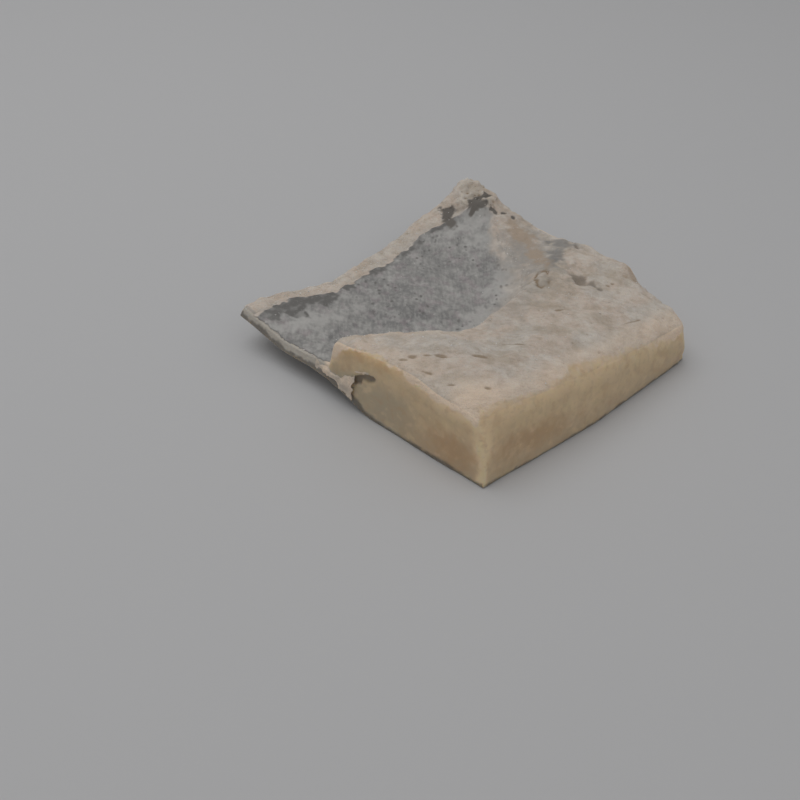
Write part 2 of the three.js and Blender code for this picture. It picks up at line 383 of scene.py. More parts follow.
class LingColours(bpy.types.PropertyGroup):
    """Colours of the cured fish and of the floor."""

    crust_warm: tint("Crust, warm", "Dried flesh where the fat has yellowed", "#DACABC")
    crust_cool: tint("Crust, cool", "Dried flesh where the salt lies thick", "#D3CAC0")
    # Pinkish tone of the top's edges, and also painted light that brightens the crust on the upright sides
    crust_rosy_and_lit: tint("Crust, rosy", "Dried flesh at the edges of the cuts", "#FFE7CE")
    # Also the paler crust on the high spots of the relief, partly salt bloom and partly painted highlight
    crust_pale: tint("Crust, pale", "Salt bloom on the highest fibres", "#E6DED3")
    # Dim tone of the crust, and also painted shade in the low spots of its relief
    crust_dim_and_shade: tint("Crust, dim", "Dried flesh down between the fibres", "#B4A693")
    # Light tone of the cut, and also painted light as if shining through the flesh at the near corner,
    # under the top's edge and on the back
    cut_light_and_glow: tint("Cut, light", "Translucent flesh near its edges", "#FFE6C0")
    cut_gold: tint("Cut, gold", "Translucent flesh", "#E2CAA5")
    cut_deep: tint("Cut, deep", "Translucent flesh by the skin", "#C5AE92")
    cut_amber: tint("Cut, amber", "Yellowed flesh at the thin end of the cut", "#D9BA90")
    cut_brown: tint("Cut, brown", "Dark muscle by the back edge", "#CCA983")
    cut_dull: tint("Cut, dull", "Drier, greyish flesh of the belly end", "#C6B89F")
    flap_pale: tint("Flap edge", "Whitish flesh of the thin flap where it is cut", "#CBC4B9")
    ashen: tint("Ashen film", "Thin film of lining left on bare flesh", "#A8A49F")
    tan: tint("Tan flesh", "Bare flesh where the lining tore away", "#C0AA93")
    # Brown stains in slits, and also painted shade inside gaps and tears
    stain_and_shade: tint("Stain", "Brown of dried blood in slits and cracks", "#917A5E")
    # Painted shade inside pits, gaps and tears; also the strip along the foot of the cuts, which is dark
    # skin and, under the torn tongue, painted shadow
    hollow: tint("Hollow", "Dark inside of pits and tears", "#7A756F")
    film_grey: tint("Lining", "Dried belly lining", "#A19F9C")
    # Also painted shade on the lining where the flap sags before the step
    film_deep: tint("Lining, deep", "Belly lining where little salt lies", "#868584")
    film_bare: tint("Lining, bare", "Black belly lining bare of salt", "#777572")
    film_lilac: tint("Lining, lilac", "Belly lining where the blood shows through", "#A5989B")
    frost: tint("Frost", "Salt frost on the lining", "#C8C6C2")
    skin_dark: tint("Skin, dark", "Back of the fish", "#5C554C")
    skin_light: tint("Skin, light", "Flank and belly of the fish", "#9A9286")
    salt: tint("Salt", "Curing salt", "#ECEAE5")
    floor: tint("Floor", "Pale floor", "#CFCFD0")


def ease(value, start=0.0, end=1.0):
    """S-curve from 0 at the start to 1 at the end, which may be the lower of the two: three squares less
    two cubes of the share between them.
    """
    share = np.clip((value - start) / (end - start), 0.0, 1.0)
    return share * share * (3 - 2 * share)


def ease_mm(value, start, end):
    """The S-curve between two lengths in millimetres."""
    return ease(value, start * MM, end * MM)


def mix(a, b, share):
    """Straight blend from a to b."""
    return a + (b - a) * share


def arch(share):
    """Half a sine wave: 0 at both ends, 1 half way."""
    return np.sin(np.pi * share)


def lattice_value(i, j, k, seed):
    """Repeatable value from -1 to 1 for a lattice point: a 32-bit mix of its three counts and the seed."""
    word = 0xFFFFFFFF
    h = (i * 374761393 + j * 668265263 + k * 1103515245 + seed * 1442695041) & word
    h = ((h ^ (h >> 13)) * 1274126177) & word
    return (h ^ (h >> 16)) / 2147483647.5 - 1


def noise(x, y, z=0.0, seed=NOISE_SEED):
    """Repeatable noise from -1 to 1: lattice values at a cell's eight corners, eased between them."""
    places = np.broadcast_arrays(x, y, z)
    cells = [np.floor(place).astype(np.int64) for place in places]
    shares = [ease(place - cell) for place, cell in zip(places, cells)]
    total = 0.0
    for corner in np.ndindex(2, 2, 2):
        weights = [share if step else 1 - share for share, step in zip(shares, corner)]
        counts = [cell + step for cell, step in zip(cells, corner)]
        total = total + weights[0] * weights[1] * weights[2] * lattice_value(*counts, seed)
    return total


def field(x, y, size, seed):
    """Noise over two directions, with cells of so many millimetres."""
    return noise(x / (size * MM), y / (size * MM), seed=seed)


def spots(x, y, spacing, chance, radius, seed):
    """Mask of scattered round spots: some cells of a square grid hold one, at a hashed place and of a
    hashed size. It is 1 in a spot's middle and 0 from its radius on, and the strongest spot counts.
    """
    x, y = x / MM, y / MM
    strongest = np.zeros(np.shape(x))
    i, j = (np.floor(place / spacing).astype(np.int64) for place in (x, y))
    for side, ahead in np.ndindex(3, 3):
        a, b = i + side - 1, j + ahead - 1
        off_x = x - (a + 0.5 + 0.4 * lattice_value(a, b, 1, seed)) * spacing
        off_y = y - (b + 0.5 + 0.4 * lattice_value(a, b, 2, seed)) * spacing
        reach = np.hypot(off_x, off_y) / (radius * (0.75 + 0.35 * lattice_value(a, b, 3, seed)))
        held = lattice_value(a, b, 4, seed) < 2 * chance - 1
        strongest = np.maximum(strongest, np.where(held, ease(reach, 1.0, 0.35), 0.0))
    return strongest


def drawn(table, place, unit=MM):
    """Value of a line through points, straight from each to the next. The places in the table are
    millimetres, and its values are in the unit.
    """
    places, values = np.array(table).T
    return np.interp(place / MM, places, values) * unit


def oval(x, y, place, ragged=0.3, edge=0.25):
    """Mask of a ragged oval: the distance from its middle in half axes, shaken by noise, eased across
    its edge from 1 inside to 0 outside.
    """
    middle_x, middle_y, half_long, half_wide = (value * MM for value in place[:4])
    turn = np.radians(place[4])
    ahead = ((x - middle_x) * np.cos(turn) + (y - middle_y) * np.sin(turn)) / half_long
    aside = ((y - middle_y) * np.cos(turn) - (x - middle_x) * np.sin(turn)) / half_wide
    shake = ragged * (field(x, y, 2.6, 11) + 0.6 * field(x, y, 1.1, 12))
    return ease(np.hypot(ahead, aside) + shake, 1 + edge, 1 - edge)


def ovals(x, y, places, **shape):
    """The strongest of several ovals."""
    return np.max([oval(x, y, place, **shape) for place in places.values()], axis=0)


def near(x, along, place):
    """Mask round a place on the plan: 1 up to one distance from it, eased to 0 at another."""
    middle_x, middle_along, full, none = (value * MM for value in place)
    return ease(np.hypot(x - middle_x, along - middle_along), none, full)


def torn_marks(x, along):
    """Masks that flesh and lining share where the lining tore off: tan strips, an ashen scar and
    hollows, whose dark inside is painted shade.
    """
    return {
        "tan": 0.6 * ovals(x, along, TAN_STRIPS, ragged=0.5, edge=0.55),
        "scar": 0.7 * oval(x, along, SCAR_VEIL, ragged=0.4, edge=0.9),
        "hollow": ovals(x, along, HOLLOWS, ragged=0.6, edge=0.3),
    }


class Fish:
    """Form of the cut. Its lines run along the fish, and a section goes from the lip over the flap, the
    step, the ridge and the loin to the back edge. Along is the distance from the front cut.
    """

    def __init__(self, sizes):
        self.s = sizes
        self.front_y = HIGH.y - sizes.lip_length
        self.back_foot = HIGH.x - sizes.back_flare - BULGE_REACH

    def changing(self, values, along, early=EARLY_TURN, late=LATE_TURN):
        """Front value eased into the middle one over the early turn, and to the rear one over the late."""
        front, middle, rear = values
        return mix(mix(front, middle, ease(along, *early)), rear, ease(along, *late))

    def lip_x(self, along):
        """Lip line: it starts at the front corner and twice eases inwards."""
        draws = [by * ease(along, *turn) for by, turn in zip(self.s.lip_draws, LIP_DRAWS)]
        return self.s.lip_x + sum(draws)

    def ridge_x(self, along):
        """Ridge line: eased from its front place to where it runs level with the back edge."""
        return mix(*self.s.ridge, ease(along, 0.0, self.s.ridge_turn))

    def foot_x(self, along):
        """Foot of the step: the ridge less the step's width."""
        return self.ridge_x(along) - self.changing(self.s.step_run, along)

    def back_x(self, along, rise):
        """Back edge: flared and bowed along the fish, leaning in and bulging from foot (0) to top (1)."""
        share = along / self.s.back_length
        foot = self.back_foot + self.s.back_flare * share + self.s.back_bow * arch(share)
        return foot - mix(*self.s.back_lean, share) * rise + self.s.back_bulge * arch(rise)

    def length_at(self, across):
        """Front cut to rear cut: a shallow power arc from the lip's length to the back edge's."""
        return mix(self.s.lip_length, self.s.back_length, across ** LENGTH_POWER)

    def plan_x(self, across, along, rise):
        """X of a share of the section: straight over the flap, then the step, then the loin."""
        lip, foot, ridge = self.lip_x(along), self.foot_x(along), self.ridge_x(along)
        loin = (across - FLAP_SHARE - STEP_SHARE) / (1 - FLAP_SHARE - STEP_SHARE)
        step = (across - FLAP_SHARE) / STEP_SHARE
        inner = np.where(step < 1, mix(foot, ridge, step), mix(ridge, self.back_x(along, rise), loin))
        return np.where(across < FLAP_SHARE, mix(lip, foot, across / FLAP_SHARE), inner)

    def shares(self, x, along):
        """How far a plan point has come over the flap, the step and the loin, each from 0 to 1."""
        stops = [self.lip_x(along), self.foot_x(along), self.ridge_x(along), self.back_x(along, 1.0)]
        return [np.clip((x - a) / (b - a), 0.0, 1.0) for a, b in zip(stops, stops[1:])]

    def top(self, x, along):
        """Height of the upper surface, with its knobs and pits."""
        return self.plain(x, along) + self.knobs(x, along)

    def plain(self, x, along):
        """Height of the upper surface but for its knobs: a sagging flap, an S-shaped step and a crowned
        loin, which drops to the back edge with the square of the way into its rounding. Crags and swells
        lie on it.
        """
        flap, step, loin = self.shares(x, along)
        valley = self.changing(self.s.valley_top, along)
        ridge = self.changing(self.s.ridge_top, along)
        curl = ease(along, *LIP_LATE_TURN)
        lip = self.changing(self.s.lip_top, along, late=LIP_LATE_TURN)
        flap_top = mix(lip, valley, mix(ease(flap, 0.0, 0.8), flap, curl))
        flap_top = flap_top - self.s.flap_sag * (1 - curl) * arch(flap)
        step_top = mix(valley, ridge, ease(step))
        back = mix(*self.s.back_top, along / self.s.back_length)
        loin_top = mix(ridge, back, 1 - (1 - loin) ** LOIN_POWER) + self.s.loin_crown * arch(loin)
        drop, run = self.s.back_round
        loin_top = loin_top - drop * np.maximum(0.0, 1 - (self.back_x(along, 1.0) - x) / run) ** 2
        form = np.where(flap < 1, flap_top, np.where(step < 1, step_top, loin_top))
        crag = self.s.crag_height * mix(FLAP_CRAGS, 1.0, ease(loin, 0.0, 0.15))
        crags = crag * noise(x / self.s.crag_size, along / self.s.crag_size)
        swells = self.s.swell_height * noise(x / self.s.swell_size, along / self.s.swell_size)
        return form + crags + swells

    def knobs(self, x, along):
        """Round knobs and pits: each one's height eased from its level middle to nothing at its radius."""
        total = 0.0
        for *place, level in KNOBS.values():
            middle_x, middle_y, radius, height = (value * MM for value in place)
            reach = np.hypot(x - middle_x, along - middle_y) / radius
            total = total + height * ease(reach, 1.0, level)
        return total

    def underside(self, x, along, plain):
        """Height of the skin side: flat under the loin, lifted by the step's foot, then one flap's
        thickness below the plain top.
        """
        flap = self.shares(x, along)[0]
        inside = np.maximum(0.0, x - self.foot_x(along))
        lift = ease(inside, self.changing(self.s.lift_run, along), -self.s.lift_lead)
        settled = (self.changing(self.s.valley_top, along) - self.s.valley_thick) * lift
        thick = mix(self.s.lip_thick, self.s.valley_thick, flap)
        return np.where(flap < 1, mix(plain - thick, settled, ease(flap, 0.6, 1.0)), settled)

    def y_of(self, x, along, rise=1.0):
        """Y of a plan point: the cuts lean in from foot to top, less and less towards the middle."""
        flap, step, loin = self.shares(x, along)
        across = FLAP_SHARE * flap + STEP_SHARE * step + (1 - FLAP_SHARE - STEP_SHARE) * loin
        share = along / self.length_at(across)
        return self.front_y + along + self.s.cut_lean * rise * (1 - 2 * share)

    def grain(self, x, along):
        """Distances along and across the muscle's grain, which runs aslant over the plan, bows with the
        square of the way along it, and wavers with noise.
        """
        ahead = GRAIN[0] * x + GRAIN[1] * along
        aside = GRAIN[0] * along - GRAIN[1] * x + GRAIN_WAVER * field(x, along, 24, 51)
        return ahead, aside + (ahead - GRAIN_MIDDLE) ** 2 / self.s.grain_bow

    def lining_sides(self, along):
        """X of the lining's two edges. One keeps to the lip at the rim's width. The other climbs nearly the
        whole step, and behind the middle draws back to the step's foot. Noise tears both.
        """
        rim = self.changing(self.s.lip_rim, along, *RIM_TURNS)
        rim = rim + MM * (field(along, 0.0, 9, 61) + 0.6 * field(along, 0.0, 2.8, 62))
        climb = mix(self.foot_x(along), self.ridge_x(along), LINING_CLIMB)
        right = mix(climb, drawn(LINING_RIGHT, along), ease(along, *TEAR_TURN))
        return self.lip_x(along) + rim, right + 0.8 * MM * field(along, 0.0, 6, 63)

    def lining_end(self, share):
        """Distance from the front cut where the lining ends, for a share of its width at its rear end."""
        return drawn(LINING_END, mix(*LINING_CORNERS, share))

    def lining_mask(self, x, along, soft=1.5 * MM):
        """1 where the lining lies and 0 off it, eased over a soft border."""
        left, right = self.lining_sides(along)
        end = self.lining_end(np.clip((x - left) / (right - left), 0.0, 1.0))
        inside = np.minimum(np.minimum(x - left, right - x), end - along)
        return ease(inside, -soft, soft)


def block_shell(cells, span):
    """Lattice points of a block's surface, the four-sided faces of its top and sides, and the faces of its
    underside. Underside cells are wider, and those at the rim take in every point of the block's edge.
    """
    across, along, through = cells
    stride = (along + 1) * (through + 1), through + 1, 1

    def code(i, j, k):
        """Number of a lattice point."""
        return i * stride[0] + j * stride[1] + k * stride[2]

    def sheet(corner, first, second, counts):
        """Faces of one side, from its corner by so many steps in two directions."""
        a, b = np.meshgrid(np.arange(counts[0]), np.arange(counts[1]), indexing="ij")
        start = corner + a * first + b * second
        return np.stack([start, start + first, start + first + second, start + second], -1).reshape(-1, 4)

    quads = np.concatenate([
        sheet(code(0, 0, through), stride[0], stride[1], (across, along)),
        sheet(code(0, 0, 0), stride[0], stride[2], (across, through)),
        sheet(code(0, along, 0), stride[2], stride[0], (through, across)),
        sheet(code(0, 0, 0), stride[2], stride[1], (through, along)),
        sheet(code(across, 0, 0), stride[1], stride[2], (along, through)),
    ])

    def under_cell(i, j):
        """Points round one cell of the underside."""
        far_i, far_j = i + span, j + span
        lip = [code(i, n, 0) for n in range(j, far_j, span if i else 1)]
        rear = [code(n, far_j, 0) for n in range(i, far_i, span if far_j < along else 1)]
        back = [code(far_i, n, 0) for n in range(far_j, j, -span if far_i < across else -1)]
        front = [code(n, j, 0) for n in range(far_i, i, -span if j else -1)]
        return lip + rear + back + front

    under = [under_cell(i, j) for i in range(0, across, span) for j in range(0, along, span)]
    used = np.unique(np.concatenate([quads.ravel(), np.concatenate(under)]))
    lattice = np.stack([used // stride[0], used // stride[1] % (along + 1), used % (through + 1)], -1)
    return lattice, np.searchsorted(used, quads), [np.searchsorted(used, loop).tolist() for loop in under]


def face_normals(points, quads):
    """Unit normals at the points: the cross products of the faces' diagonals, summed at their corners."""
    corner = points[quads]
    across = np.cross(corner[:, 2] - corner[:, 0], corner[:, 3] - corner[:, 1])
    total = np.zeros_like(points)
    for axis in range(3):
        weights = np.repeat(across[:, axis], 4)
        total[:, axis] = np.bincount(quads.ravel(), weights, len(points))
    return total / np.maximum(np.linalg.norm(total, axis=1, keepdims=True), 1e-12)


def relaxed(points, quads, weight, rounds):
    """Rounds off edges: each point moves by its weight towards the mean of its neighbours, some times."""
    pairs = np.concatenate([quads[:, [n, (n + 1) % 4]] for n in range(4)])
    pairs = np.unique(np.sort(pairs, axis=1), axis=0)
    ends = np.concatenate([pairs, pairs[:, ::-1]])
    counts = np.maximum(np.bincount(ends[:, 0], minlength=len(points)), 1)
    for _ in range(rounds):
        sums = [np.bincount(ends[:, 0], place, len(points)) for place in points[ends[:, 1]].T]
        points = points + weight[:, None] * (np.stack(sums, -1) / counts[:, None] - points)
    return points


def closed_sheet(front, back):
    """Points and faces of a thin closed sheet from two grids of points. The back grid gives only its
    inner points, because the front's rim closes both sides.
    """
    rows, columns = front.shape[:2]
    place = np.arange(rows * columns).reshape(rows, columns)
    behind = place.copy()
    inner = (rows - 2) * (columns - 2)
    behind[1:-1, 1:-1] = rows * columns + np.arange(inner).reshape(rows - 2, columns - 2)

    def faces(grid):
        """Four-sided faces of a grid of point numbers."""
        return np.stack([grid[:-1, :-1], grid[1:, :-1], grid[1:, 1:], grid[:-1, 1:]], -1).reshape(-1, 4)

    points = np.concatenate([front.reshape(-1, 3), back[1:-1, 1:-1].reshape(-1, 3)])
    return points, np.concatenate([faces(place), faces(behind)[:, ::-1]])


def joined(sheets):
    """One set of points and faces from several."""
    starts = np.cumsum([0] + [len(points) for points, _ in sheets])
    faces = [faces + start for (_, faces), start in zip(sheets, starts)]
    return np.concatenate([points for points, _ in sheets]), np.concatenate(faces)


def grain_faces(corners):
    """Faces of the cut cube: the corners that lie furthest out along each axis and each diagonal, in order
    round it.
    """
    outs = [np.array(out) for out in np.ndindex(3, 3, 3)]
    outs = [out - 1 for out in outs if np.abs(out - 1).sum() in (1, 3)]
    faces = []
    for out in outs:
        reach = corners @ out
        ring = np.flatnonzero(reach == reach.max())
        aside = np.cross(out, corners[ring[0]])
        round_x = corners[ring] @ aside * np.linalg.norm(out)
        round_y = corners[ring] @ np.cross(out, aside)
        faces.append(ring[np.argsort(np.arctan2(round_y, round_x))])
    return faces


def share_grid(cells):
    """Shares from 0 to 1 in the two directions of a grid of so many cells."""
    return np.meshgrid(*(np.linspace(0, 1, count + 1) for count in cells), indexing="ij")


def both_layers(values):
    """A value for each point of a closed sheet, from its grid: the front's, then the back's inner ones."""
    return np.concatenate([values.ravel(), values[1:-1, 1:-1].ravel()])


def new_object(name, points, faces, material, masks=None, smooth=True):
    """Makes a mesh object of points and faces, with masks as attributes."""
    mesh = bpy.data.meshes.new(name)
    mesh.from_pydata(np.asarray(points).tolist(), [], faces if isinstance(faces, list) else faces.tolist())
    mesh.polygons.foreach_set("use_smooth", np.full(len(mesh.polygons), smooth))
    for mask, values in (masks or {}).items():
        kind, field_name = ("FLOAT", "value") if np.ndim(values) == 1 else ("FLOAT_VECTOR", "vector")
        attribute = mesh.attributes.new(mask, kind, "POINT")
        attribute.data.foreach_set(field_name, np.asarray(values, np.float32).ravel())
    mesh.materials.append(material)
    mesh.update()
    made = bpy.data.objects.new(name, mesh)
    bpy.context.scene.collection.objects.link(made)
    return made


def add_piece(name, points, faces, material, masks=None, smooth=True):
    """Makes a piece of the fish and sets it on the body."""
    piece = new_object(name, points, faces, material, masks, smooth)
    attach(piece, BODY)
    return piece


def add_node(tree, kind, inputs=None, **settings):
    """Adds a node with its settings. Each input is a value for a socket or the socket that feeds it."""
    made = tree.nodes.new(kind)
    for name, value in settings.items():
        setattr(made, name, value)
    for socket, value in (inputs or {}).items():
        if isinstance(value, bpy.types.NodeSocket):
            tree.links.new(value, made.inputs[socket])
        else:
            made.inputs[socket].default_value = value
    return made


def new_material(name):
    """A material and its empty node tree. One that is there already is emptied and made again."""
    material = bpy.data.materials.get(name) or bpy.data.materials.new(name)
    material.use_nodes = True
    material.node_tree.nodes.clear()
    return material, material.node_tree


def per(millimetres):
    """Texture scale for a pattern that repeats at this size."""
    return 1 / (millimetres * MM)


def layered(tree, base, layers):
    """Colours laid over each other. A layer is a mask, the values of it at which the layer starts to show
    and shows most, how much it then hides, and its colour. Just a mask and a colour go from 0 to 1.
    """
    for mask, *limits, colour in layers:
        low, high, strength = limits or (0.0, 1.0, 1.0)
        span = {"Value": mask, "From Min": low, "From Max": high, "To Max": strength}
        share = add_node(tree, "ShaderNodeMapRange", span, interpolation_type="SMOOTHSTEP").outputs[0]
        base = add_node(tree, "ShaderNodeMix", {0: share, 6: base, 7: colour}, data_type="RGBA").outputs[2]
    return base


def inputs_of(tree, masks, sizes):
    """Sockets that a finish starts from: its place, its masks by name, and noise by the size of its
    blotches in millimetres.
    """
    sockets = {"place": add_node(tree, "ShaderNodeTexCoord").outputs["Object"]}
    for name in masks:
        sockets[name] = add_node(tree, "ShaderNodeAttribute", attribute_name=name).outputs["Fac"]
    for size in sizes:
        settings = {"Vector": sockets["place"], "Scale": per(size), "Detail": 4.0}
        sockets[size] = add_node(tree, "ShaderNodeTexNoise", settings).outputs["Fac"]
    return sockets


def drawn_out(tree, ahead, aside):
    """Noise that is drawn out along the surface's grain, by the length and width of its blotches in
    millimetres.
    """
    grain = add_node(tree, "ShaderNodeAttribute", attribute_name="grain").outputs["Vector"]
    settings = {"Vector": grain, "Scale": (per(ahead), per(aside), per(aside))}
    along_grain = add_node(tree, "ShaderNodeMapping", settings).outputs[0]
    settings = {"Vector": along_grain, "Scale": 1.0, "Detail": 3.0}
    return add_node(tree, "ShaderNodeTexNoise", settings).outputs["Fac"]


def crust_colour(tree, colours, at):
    """Dried crust: pinkish and greenish beige in broad patches, with smaller pale and dim blotches."""
    return layered(tree, colours.crust_warm, [
        (at[16], 0.42, 0.6, 1.0, colours.crust_cool),
        (at[5], 0.5, 0.68, 0.5, colours.crust_pale),
        (at[5], 0.48, 0.34, 0.3, colours.crust_dim_and_shade),
        (at[2.2], 0.5, 0.72, 0.4, colours.crust_pale),
        (at[2.2], 0.47, 0.3, 0.3, colours.crust_dim_and_shade),
        (at[0.8], 0.56, 0.74, 0.25, colours.crust_dim_and_shade),
    ])


def flesh_material(colours):
    """Salt-cured fish flesh, split, pressed and air-dried."""
    material, tree = new_material("salt_cured_flesh")
    # It looks chalky and mottled where it dried, and waxy and a little see-through where a knife went
    at = inputs_of(tree, FLESH_MASKS, (16, 9, 5, 2.2, 0.8, 0.35))
    fibres = drawn_out(tree, 4.5, 1.3)
    crust = layered(tree, crust_colour(tree, colours, at), [
        # Painted shade in the low spots of the relief, and paler crust on its high spots, partly salt bloom
        # and partly painted highlight
        (at["rise"], 0.45, 0.1, 0.35, colours.crust_dim_and_shade),
        (at["rise"], 0.55, 0.95, 0.5, colours.crust_pale),
        (fibres, 0.47, 0.32, 0.3, colours.crust_dim_and_shade),
        # Pinkish tone on the top, and painted light that brightens the crust on the upright sides
        (at["rosy_and_lit"], colours.crust_rosy_and_lit),
        (at["dusk"], colours.crust_dim_and_shade),
        (at[0.35], 0.56, 0.7, 0.4, colours.crust_pale),
        (at[0.35], 0.44, 0.3, 0.35, colours.crust_dim_and_shade),
    ])
    cut = layered(tree, colours.cut_gold, [
        (at["depth"], 0.25, 1.0, 0.7, colours.cut_deep),
        (at[16], 0.42, 0.64, 0.3, colours.cut_deep),
        (at["dull"], colours.cut_dull),
        (at["amber"], colours.cut_amber),
        # Painted light as if shining through the flesh at the near corner, under the top's edge and on the
        # back
        (at["painted_glow"], colours.cut_light_and_glow),
        (at["brown"], colours.cut_brown),
        (at[9], 0.48, 0.7, 0.25, colours.cut_light_and_glow),
        (at[5], 0.48, 0.34, 0.3, colours.cut_brown),
        (at[5], 0.54, 0.7, 0.25, colours.cut_light_and_glow),
        (at[2.2], 0.5, 0.35, 0.2, colours.cut_deep),
    ])
    colour = layered(tree, cut, [
        (at["crust"], crust),
        (at["pale"], colours.flap_pale),
        (at["ashen"], colours.ashen),
        (at["film"], colours.film_deep),
        (at["tan"], colours.tan),
        # Dark skin along the foot of the cuts, widened under the torn tongue into painted shadow
        (at["skin_edge_and_shadow"], colours.hollow),
        # Brown stains in slits, specks and the rib's ring, and painted shade inside gaps and tears
        (at["stain_and_shade"], colours.stain_and_shade),
        # Painted shade inside pits, gaps and tears
        (at["hollow"], colours.hollow),
    ])
    dry = {"Value": at["crust"]}
    rough = add_node(tree, "ShaderNodeMapRange", {**dry, "To Min": 0.5, "To Max": 0.9}).outputs[0]
    soak = add_node(tree, "ShaderNodeMapRange", {**dry, "To Min": 0.6, "To Max": 0.05}).outputs[0]
    weave = add_node(tree, "ShaderNodeMapRange", {**dry, "To Min": 0.08, "To Max": 0.9}).outputs[0]
    tooth = add_node(tree, "ShaderNodeMath", {0: at[0.8], 1: fibres}, operation="ADD").outputs[0]
    fine = {0: at[0.35], 1: 0.4, 2: tooth}
    tooth = add_node(tree, "ShaderNodeMath", fine, operation="MULTIPLY_ADD").outputs[0]
    bump = add_node(tree, "ShaderNodeBump", {"Height": tooth, "Strength": weave, "Distance": 0.4 * MM})
    shader = add_node(tree, "ShaderNodeBsdfPrincipled", {
        "Base Color": colour, "Roughness": rough, "Normal": bump.outputs[0], "IOR": 1.42,
        "Subsurface Weight": soak, "Subsurface Radius": (1.0, 0.66, 0.36), "Subsurface Scale": 4.0 * MM,
        "Specular IOR Level": 0.35,
    })
    add_node(tree, "ShaderNodeOutputMaterial", {"Surface": shader.outputs[0]})
    return material


def lining_material(colours):
    """Dried belly lining: a thin black film under salt."""
    material, tree = new_material("dried_belly_lining")
    # It looks like slate dusted with frost, pricked with dark pores and worn bare beside the lip
    at = inputs_of(tree, LINING_MASKS, (16, 9, 5, 3.5, 2.2, 1.5, 0.8))
    streaks = drawn_out(tree, 3.6, 1.1)
    colour = layered(tree, colours.film_grey, [
        (at[9], 0.5, 0.36, 0.5, colours.film_deep),
        # Painted shade on the lining where the flap sags before the step
        (at["dim"], colours.film_deep),
        (at[9], 0.5, 0.66, 0.45, colours.frost),
        (at[5], 0.5, 0.64, 0.5, colours.film_lilac),
        (at[3.5], 0.5, 0.36, 0.4, colours.film_deep),
        (at[3.5], 0.5, 0.66, 0.35, colours.frost),
        (streaks, 0.5, 0.68, 0.28, colours.frost),
        (streaks, 0.48, 0.32, 0.36, colours.film_deep),
        (at[1.5], 0.48, 0.74, 0.35, colours.frost),
        (at[1.5], 0.48, 0.26, 0.35, colours.film_deep),
        (at["frosted"], colours.frost),
        (at["bare"], colours.film_bare),
        (at[0.8], 0.56, 0.76, 0.25, colours.frost),
        (at["pores"], colours.film_bare),
        (at["fading"], crust_colour(tree, colours, at)),
        (at["ashen"], colours.ashen),
        (at["tan"], colours.tan),
        # Painted shade inside the pits by the lip and the knob
        (at["hollow"], colours.hollow),
    ])
    bump = add_node(tree, "ShaderNodeBump", {"Height": at[1.5], "Strength": 0.4, "Distance": 0.25 * MM})
    shader = add_node(tree, "ShaderNodeBsdfPrincipled", {
        "Base Color": colour, "Roughness": 0.75, "Normal": bump.outputs[0], "IOR": 1.42,
        "Specular IOR Level": 0.35,
    })
    add_node(tree, "ShaderNodeOutputMaterial", {"Surface": shader.outputs[0]})
    return material


def skin_material(colours):
    """Dried fish skin with small overlapping scales."""
    material, tree = new_material("dried_scaly_skin")
    # It looks dark and mottled under the back and paler to the belly, with a dull shine
    at = inputs_of(tree, ("belly",), (11,))
    settings = {"Vector": at["place"], "Scale": per(1.8)}
    scales = add_node(tree, "ShaderNodeTexVoronoi", settings).outputs["Distance"]
    colour = layered(tree, colours.skin_dark, [
        (at["belly"], colours.skin_light),
        (at[11], 0.48, 0.62, 0.6, colours.skin_light),
        (scales, 0.35, 0.7, 0.5, colours.skin_dark),
    ])
    settings = {"Height": scales, "Strength": 0.5, "Distance": 0.2 * MM}
    bump = add_node(tree, "ShaderNodeBump", settings, invert=True)
    shader = add_node(tree, "ShaderNodeBsdfPrincipled", {
        "Base Color": colour, "Roughness": 0.5, "Normal": bump.outputs[0], "IOR": 1.45,
    })
    add_node(tree, "ShaderNodeOutputMaterial", {"Surface": shader.outputs[0]})
    return material


def salt_material(colours):
    """Coarse curing salt."""
    material, tree = new_material("curing_salt")
    # It looks cloudy and half see-through, with dull faces
    at = inputs_of(tree, (), (0.6,))
    colour = layered(tree, colours.salt, [(at[0.6], 0.4, 0.7, 0.4, colours.frost)])
    shader = add_node(tree, "ShaderNodeBsdfPrincipled", {
        "Base Color": colour, "Roughness": 0.5, "IOR": 1.54, "Subsurface Weight": 0.5,
        "Subsurface Radius": (1.0, 1.0, 1.0), "Subsurface Scale": 0.3 * MM,
    })
    add_node(tree, "ShaderNodeOutputMaterial", {"Surface": shader.outputs[0]})
    return material


def floor_material(colours):
    """Matt painted board."""
    material, tree = new_material("matt_painted_board")
    # It looks even and pale, with the faintest tooth
    at = inputs_of(tree, (), (2.0,))
    bump = add_node(tree, "ShaderNodeBump", {"Height": at[2.0], "Strength": 0.05, "Distance": 0.1 * MM})
    shader = add_node(tree, "ShaderNodeBsdfPrincipled", {
        "Base Color": colours.floor, "Roughness": 0.8, "Normal": bump.outputs[0], "Specular IOR Level": 0.2,
    })
    add_node(tree, "ShaderNodeOutputMaterial", {"Surface": shader.outputs[0]})
    return material


